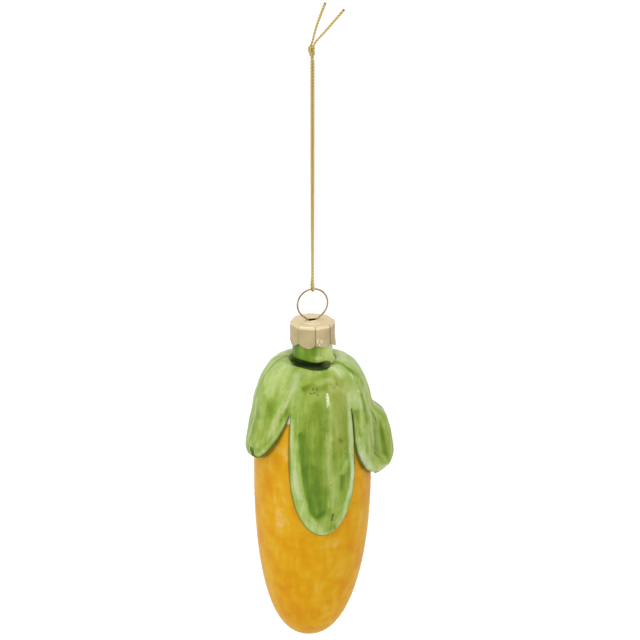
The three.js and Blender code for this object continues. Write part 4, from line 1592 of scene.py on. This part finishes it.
def make_cap():
    columns = petal_columns * petal_count
    angles = round_angles(columns)
    random = np.random.default_rng(8)
    petal = petal_count / (2 * math.pi) * (angles - math.radians(petal_turn))
    number = np.floor(petal).astype(int) % petal_count
    place = petal % 1
    tip = np.array(petal_tips)[number]
    leaning = np.where(place < tip, place / tip, (1 - place) / (1 - tip))
    groove = 1 - petal_roundness * np.sin(math.pi / 2 * leaning) - (1 - petal_roundness) * leaning
    crease = np.exp(-((np.minimum(place, 1 - place) / crease_width) ** 2))
    crease = crease * np.array(petal_creases)[np.round(petal).astype(int) % petal_count]
    bend = 1 / np.cos((place - 0.5) * 2 * math.pi / petal_count) - 1
    flat = bend / (1 / math.cos(math.pi / petal_count) - 1)
    flare = random.uniform(*flare_range, petal_count)[number] * MM
    flare[number == flared_petal] += flared_more
    notch = petal_notch * (1 + random.uniform(*notch_range, petal_count)[number])
    longer = random.uniform(*longer_range, petal_count)[number] * MM
    rows, skirt, crease_at = [], [], []
    for r, z, share in cap_profile():
        on_top = z > cap_top - 2 * corner_down
        side = float(smooth((r - cap_radius + side_start) / side_fade)) if on_top else 1
        radius = r + flat_step * (flat - 1) * side - crease * crease_depth * side
        radius = radius + (petal_flare * share + flare * share ** 2) * (1 - groove)
        height = z + share ** 3 * (notch * groove ** groove_power - longer * (1 - groove))
        if r < hole_radius + lip_width and z > cap_top - 0.1 * MM:
            lip = lip_height * (0.5 + 0.5 * np.cos(angles - lip_azimuth)) ** 2
            lip = lip + 0.05 * MM * np.sin(3 * angles + 1)
            height = height + lip * (1 - (r - hole_radius) / lip_width)
        rows.append(ring_at(angles, radius, height))
        skirt.append(np.full(columns, share))
        crease_at.append(crease * side)
    points, skirt = np.concatenate(rows), np.concatenate(skirt)
    points = points + cap_dents(points, skirt)
    faces = ring_faces(len(rows), columns, closed_rows=True)
    piece = add_mesh("foil_cap", points, faces, "cap_unit", ("cap",))
    azimuth = wrapped(np.tile(np.degrees(angles), len(rows)))
    scratched = cap_scratched(azimuth, (cap_top - points[:, 2]) / MM)
    set_numbers(piece, crease=np.concatenate(crease_at), scratched=scratched, skirt=skirt)
    piece.data.materials.append(foil())


def cap_dents(points, skirt):
    """How far the crinkles of the foil move its points, outwards on the skirt and upwards on top."""
    dents = wave_sum(points, dent_waves)
    on_skirt = smooth(skirt * 8)[:, None]
    from_hole = np.hypot(points[:, 0], points[:, 1]) - hole_radius - 0.3 * MM
    direction = unit(points * (1, 1, 0)) * on_skirt + np.array([0, 0, 1]) * (1 - on_skirt)
    return dents[:, None] * direction * smooth(from_hole / (1 * MM))[:, None]


def cap_scratched(azimuth, below):
    """1 in a scratch, which is painted as a bright glint, and 0 beside it. Below is the depth under the cap's
    top in mm.
    """
    scratched = np.zeros(len(below))
    for a1, d1, a2, d2 in cap_scratches:
        x, y = math.radians(a2 - a1) * cap_radius / MM, d2 - d1
        px, py = np.radians(azimuth - a1) * cap_radius / MM, below - d1
        t = np.clip((px * x + py * y) / (x * x + y * y), 0, 1)
        scratched = np.maximum(scratched, 1 - smooth(np.hypot(px - t * x, py - t * y) / scratch_width))
    return scratched


def foil():
    """Champagne foil, satin, crinkled, with painted shade in its creases, its top painted lighter as if lit
    from above, and scratches painted as bright glints.
    """
    n = new_material("foil")
    crinkle = n.noise(n.place(), 420, 4, 0.5)
    grain = n.noise(n.stretched(n.place(), (1, 1, 0.25)), 1900, 2)
    cloud = n.noise(n.place(), 160, 2)
    fine_scratch_glints = n.span(n.noise(n.stretched(n.place(), (1, 1, 0.5)), 900, 3, 1.5), 0.62, 0.7)
    shade = n.ramp(n.span(cloud, 0.35, 0.65), foil_ramp)
    # Painted light on the top, lighter than the skirt, and painted shade in the creases
    shade = n.mix(n.span(n.attribute("skirt"), 0, 0.1, 0.9, 0), shade, foil_top_light)
    shade = n.mix(n.times(n.attribute("crease"), 0.85), shade, foil_crease_shade)
    # Scratches, fine and coarse, painted as bright glints
    shade = n.mix(n.times(fine_scratch_glints, 0.12), shade, foil_fine_scratch_glint)
    shade = n.mix(n.times(n.attribute("scratched"), 0.8), shade, foil_scratch_glint)
    n.set(base_color=shade, metallic=0.8, roughness=n.span(cloud, 0.3, 0.7, 0.5, 0.6))
    n.set(normal=n.bump(n.plus(crinkle, n.times(grain, 0.15)), 0.06 * MM, 0.4))
    return n.owner


make_cap()


# Floor, light and sky

def make_floor():
    mesh = bpy.data.meshes.new("floor")
    corners = [(-1, -1), (1, -1), (1, 1), (-1, 1)]
    mesh.from_pydata([(floor_half * x, floor_half * y, floor_height) for x, y in corners], [], [(0, 1, 2, 3)])
    n = new_material("floor_white")
    n.set(base_color=(0.8, 0.8, 0.8, 1), roughness=0.9)
    n.set(emission_color=(1, 1, 1, 1), emission_strength=n.times(n.seen(), floor_glow))
    mesh.materials.append(n.owner)
    in_scene("floor", mesh)


def make_sky():
    world = bpy.data.worlds.new("studio")
    bpy.context.scene.world = world
    n = Nodes(world, "Background")
    n.set(color=(1, 1, 1, 1), strength=n.span(n.seen(), 0, 1, sky_light, 1))


def add_lamp(name, place, target, size, power, diffuse, gloss):
    data = bpy.data.lights.new(name, "AREA")
    data.shape = "RECTANGLE"
    data.size, data.size_y = size
    data.energy = power
    lamp = in_scene(name, data)
    aim(lamp, place, Vector(target) - Vector(place))
    lamp.visible_diffuse = diffuse
    lamp.visible_glossy = gloss


make_floor()
make_sky()
for lamp in lamps:
    add_lamp(*lamp)
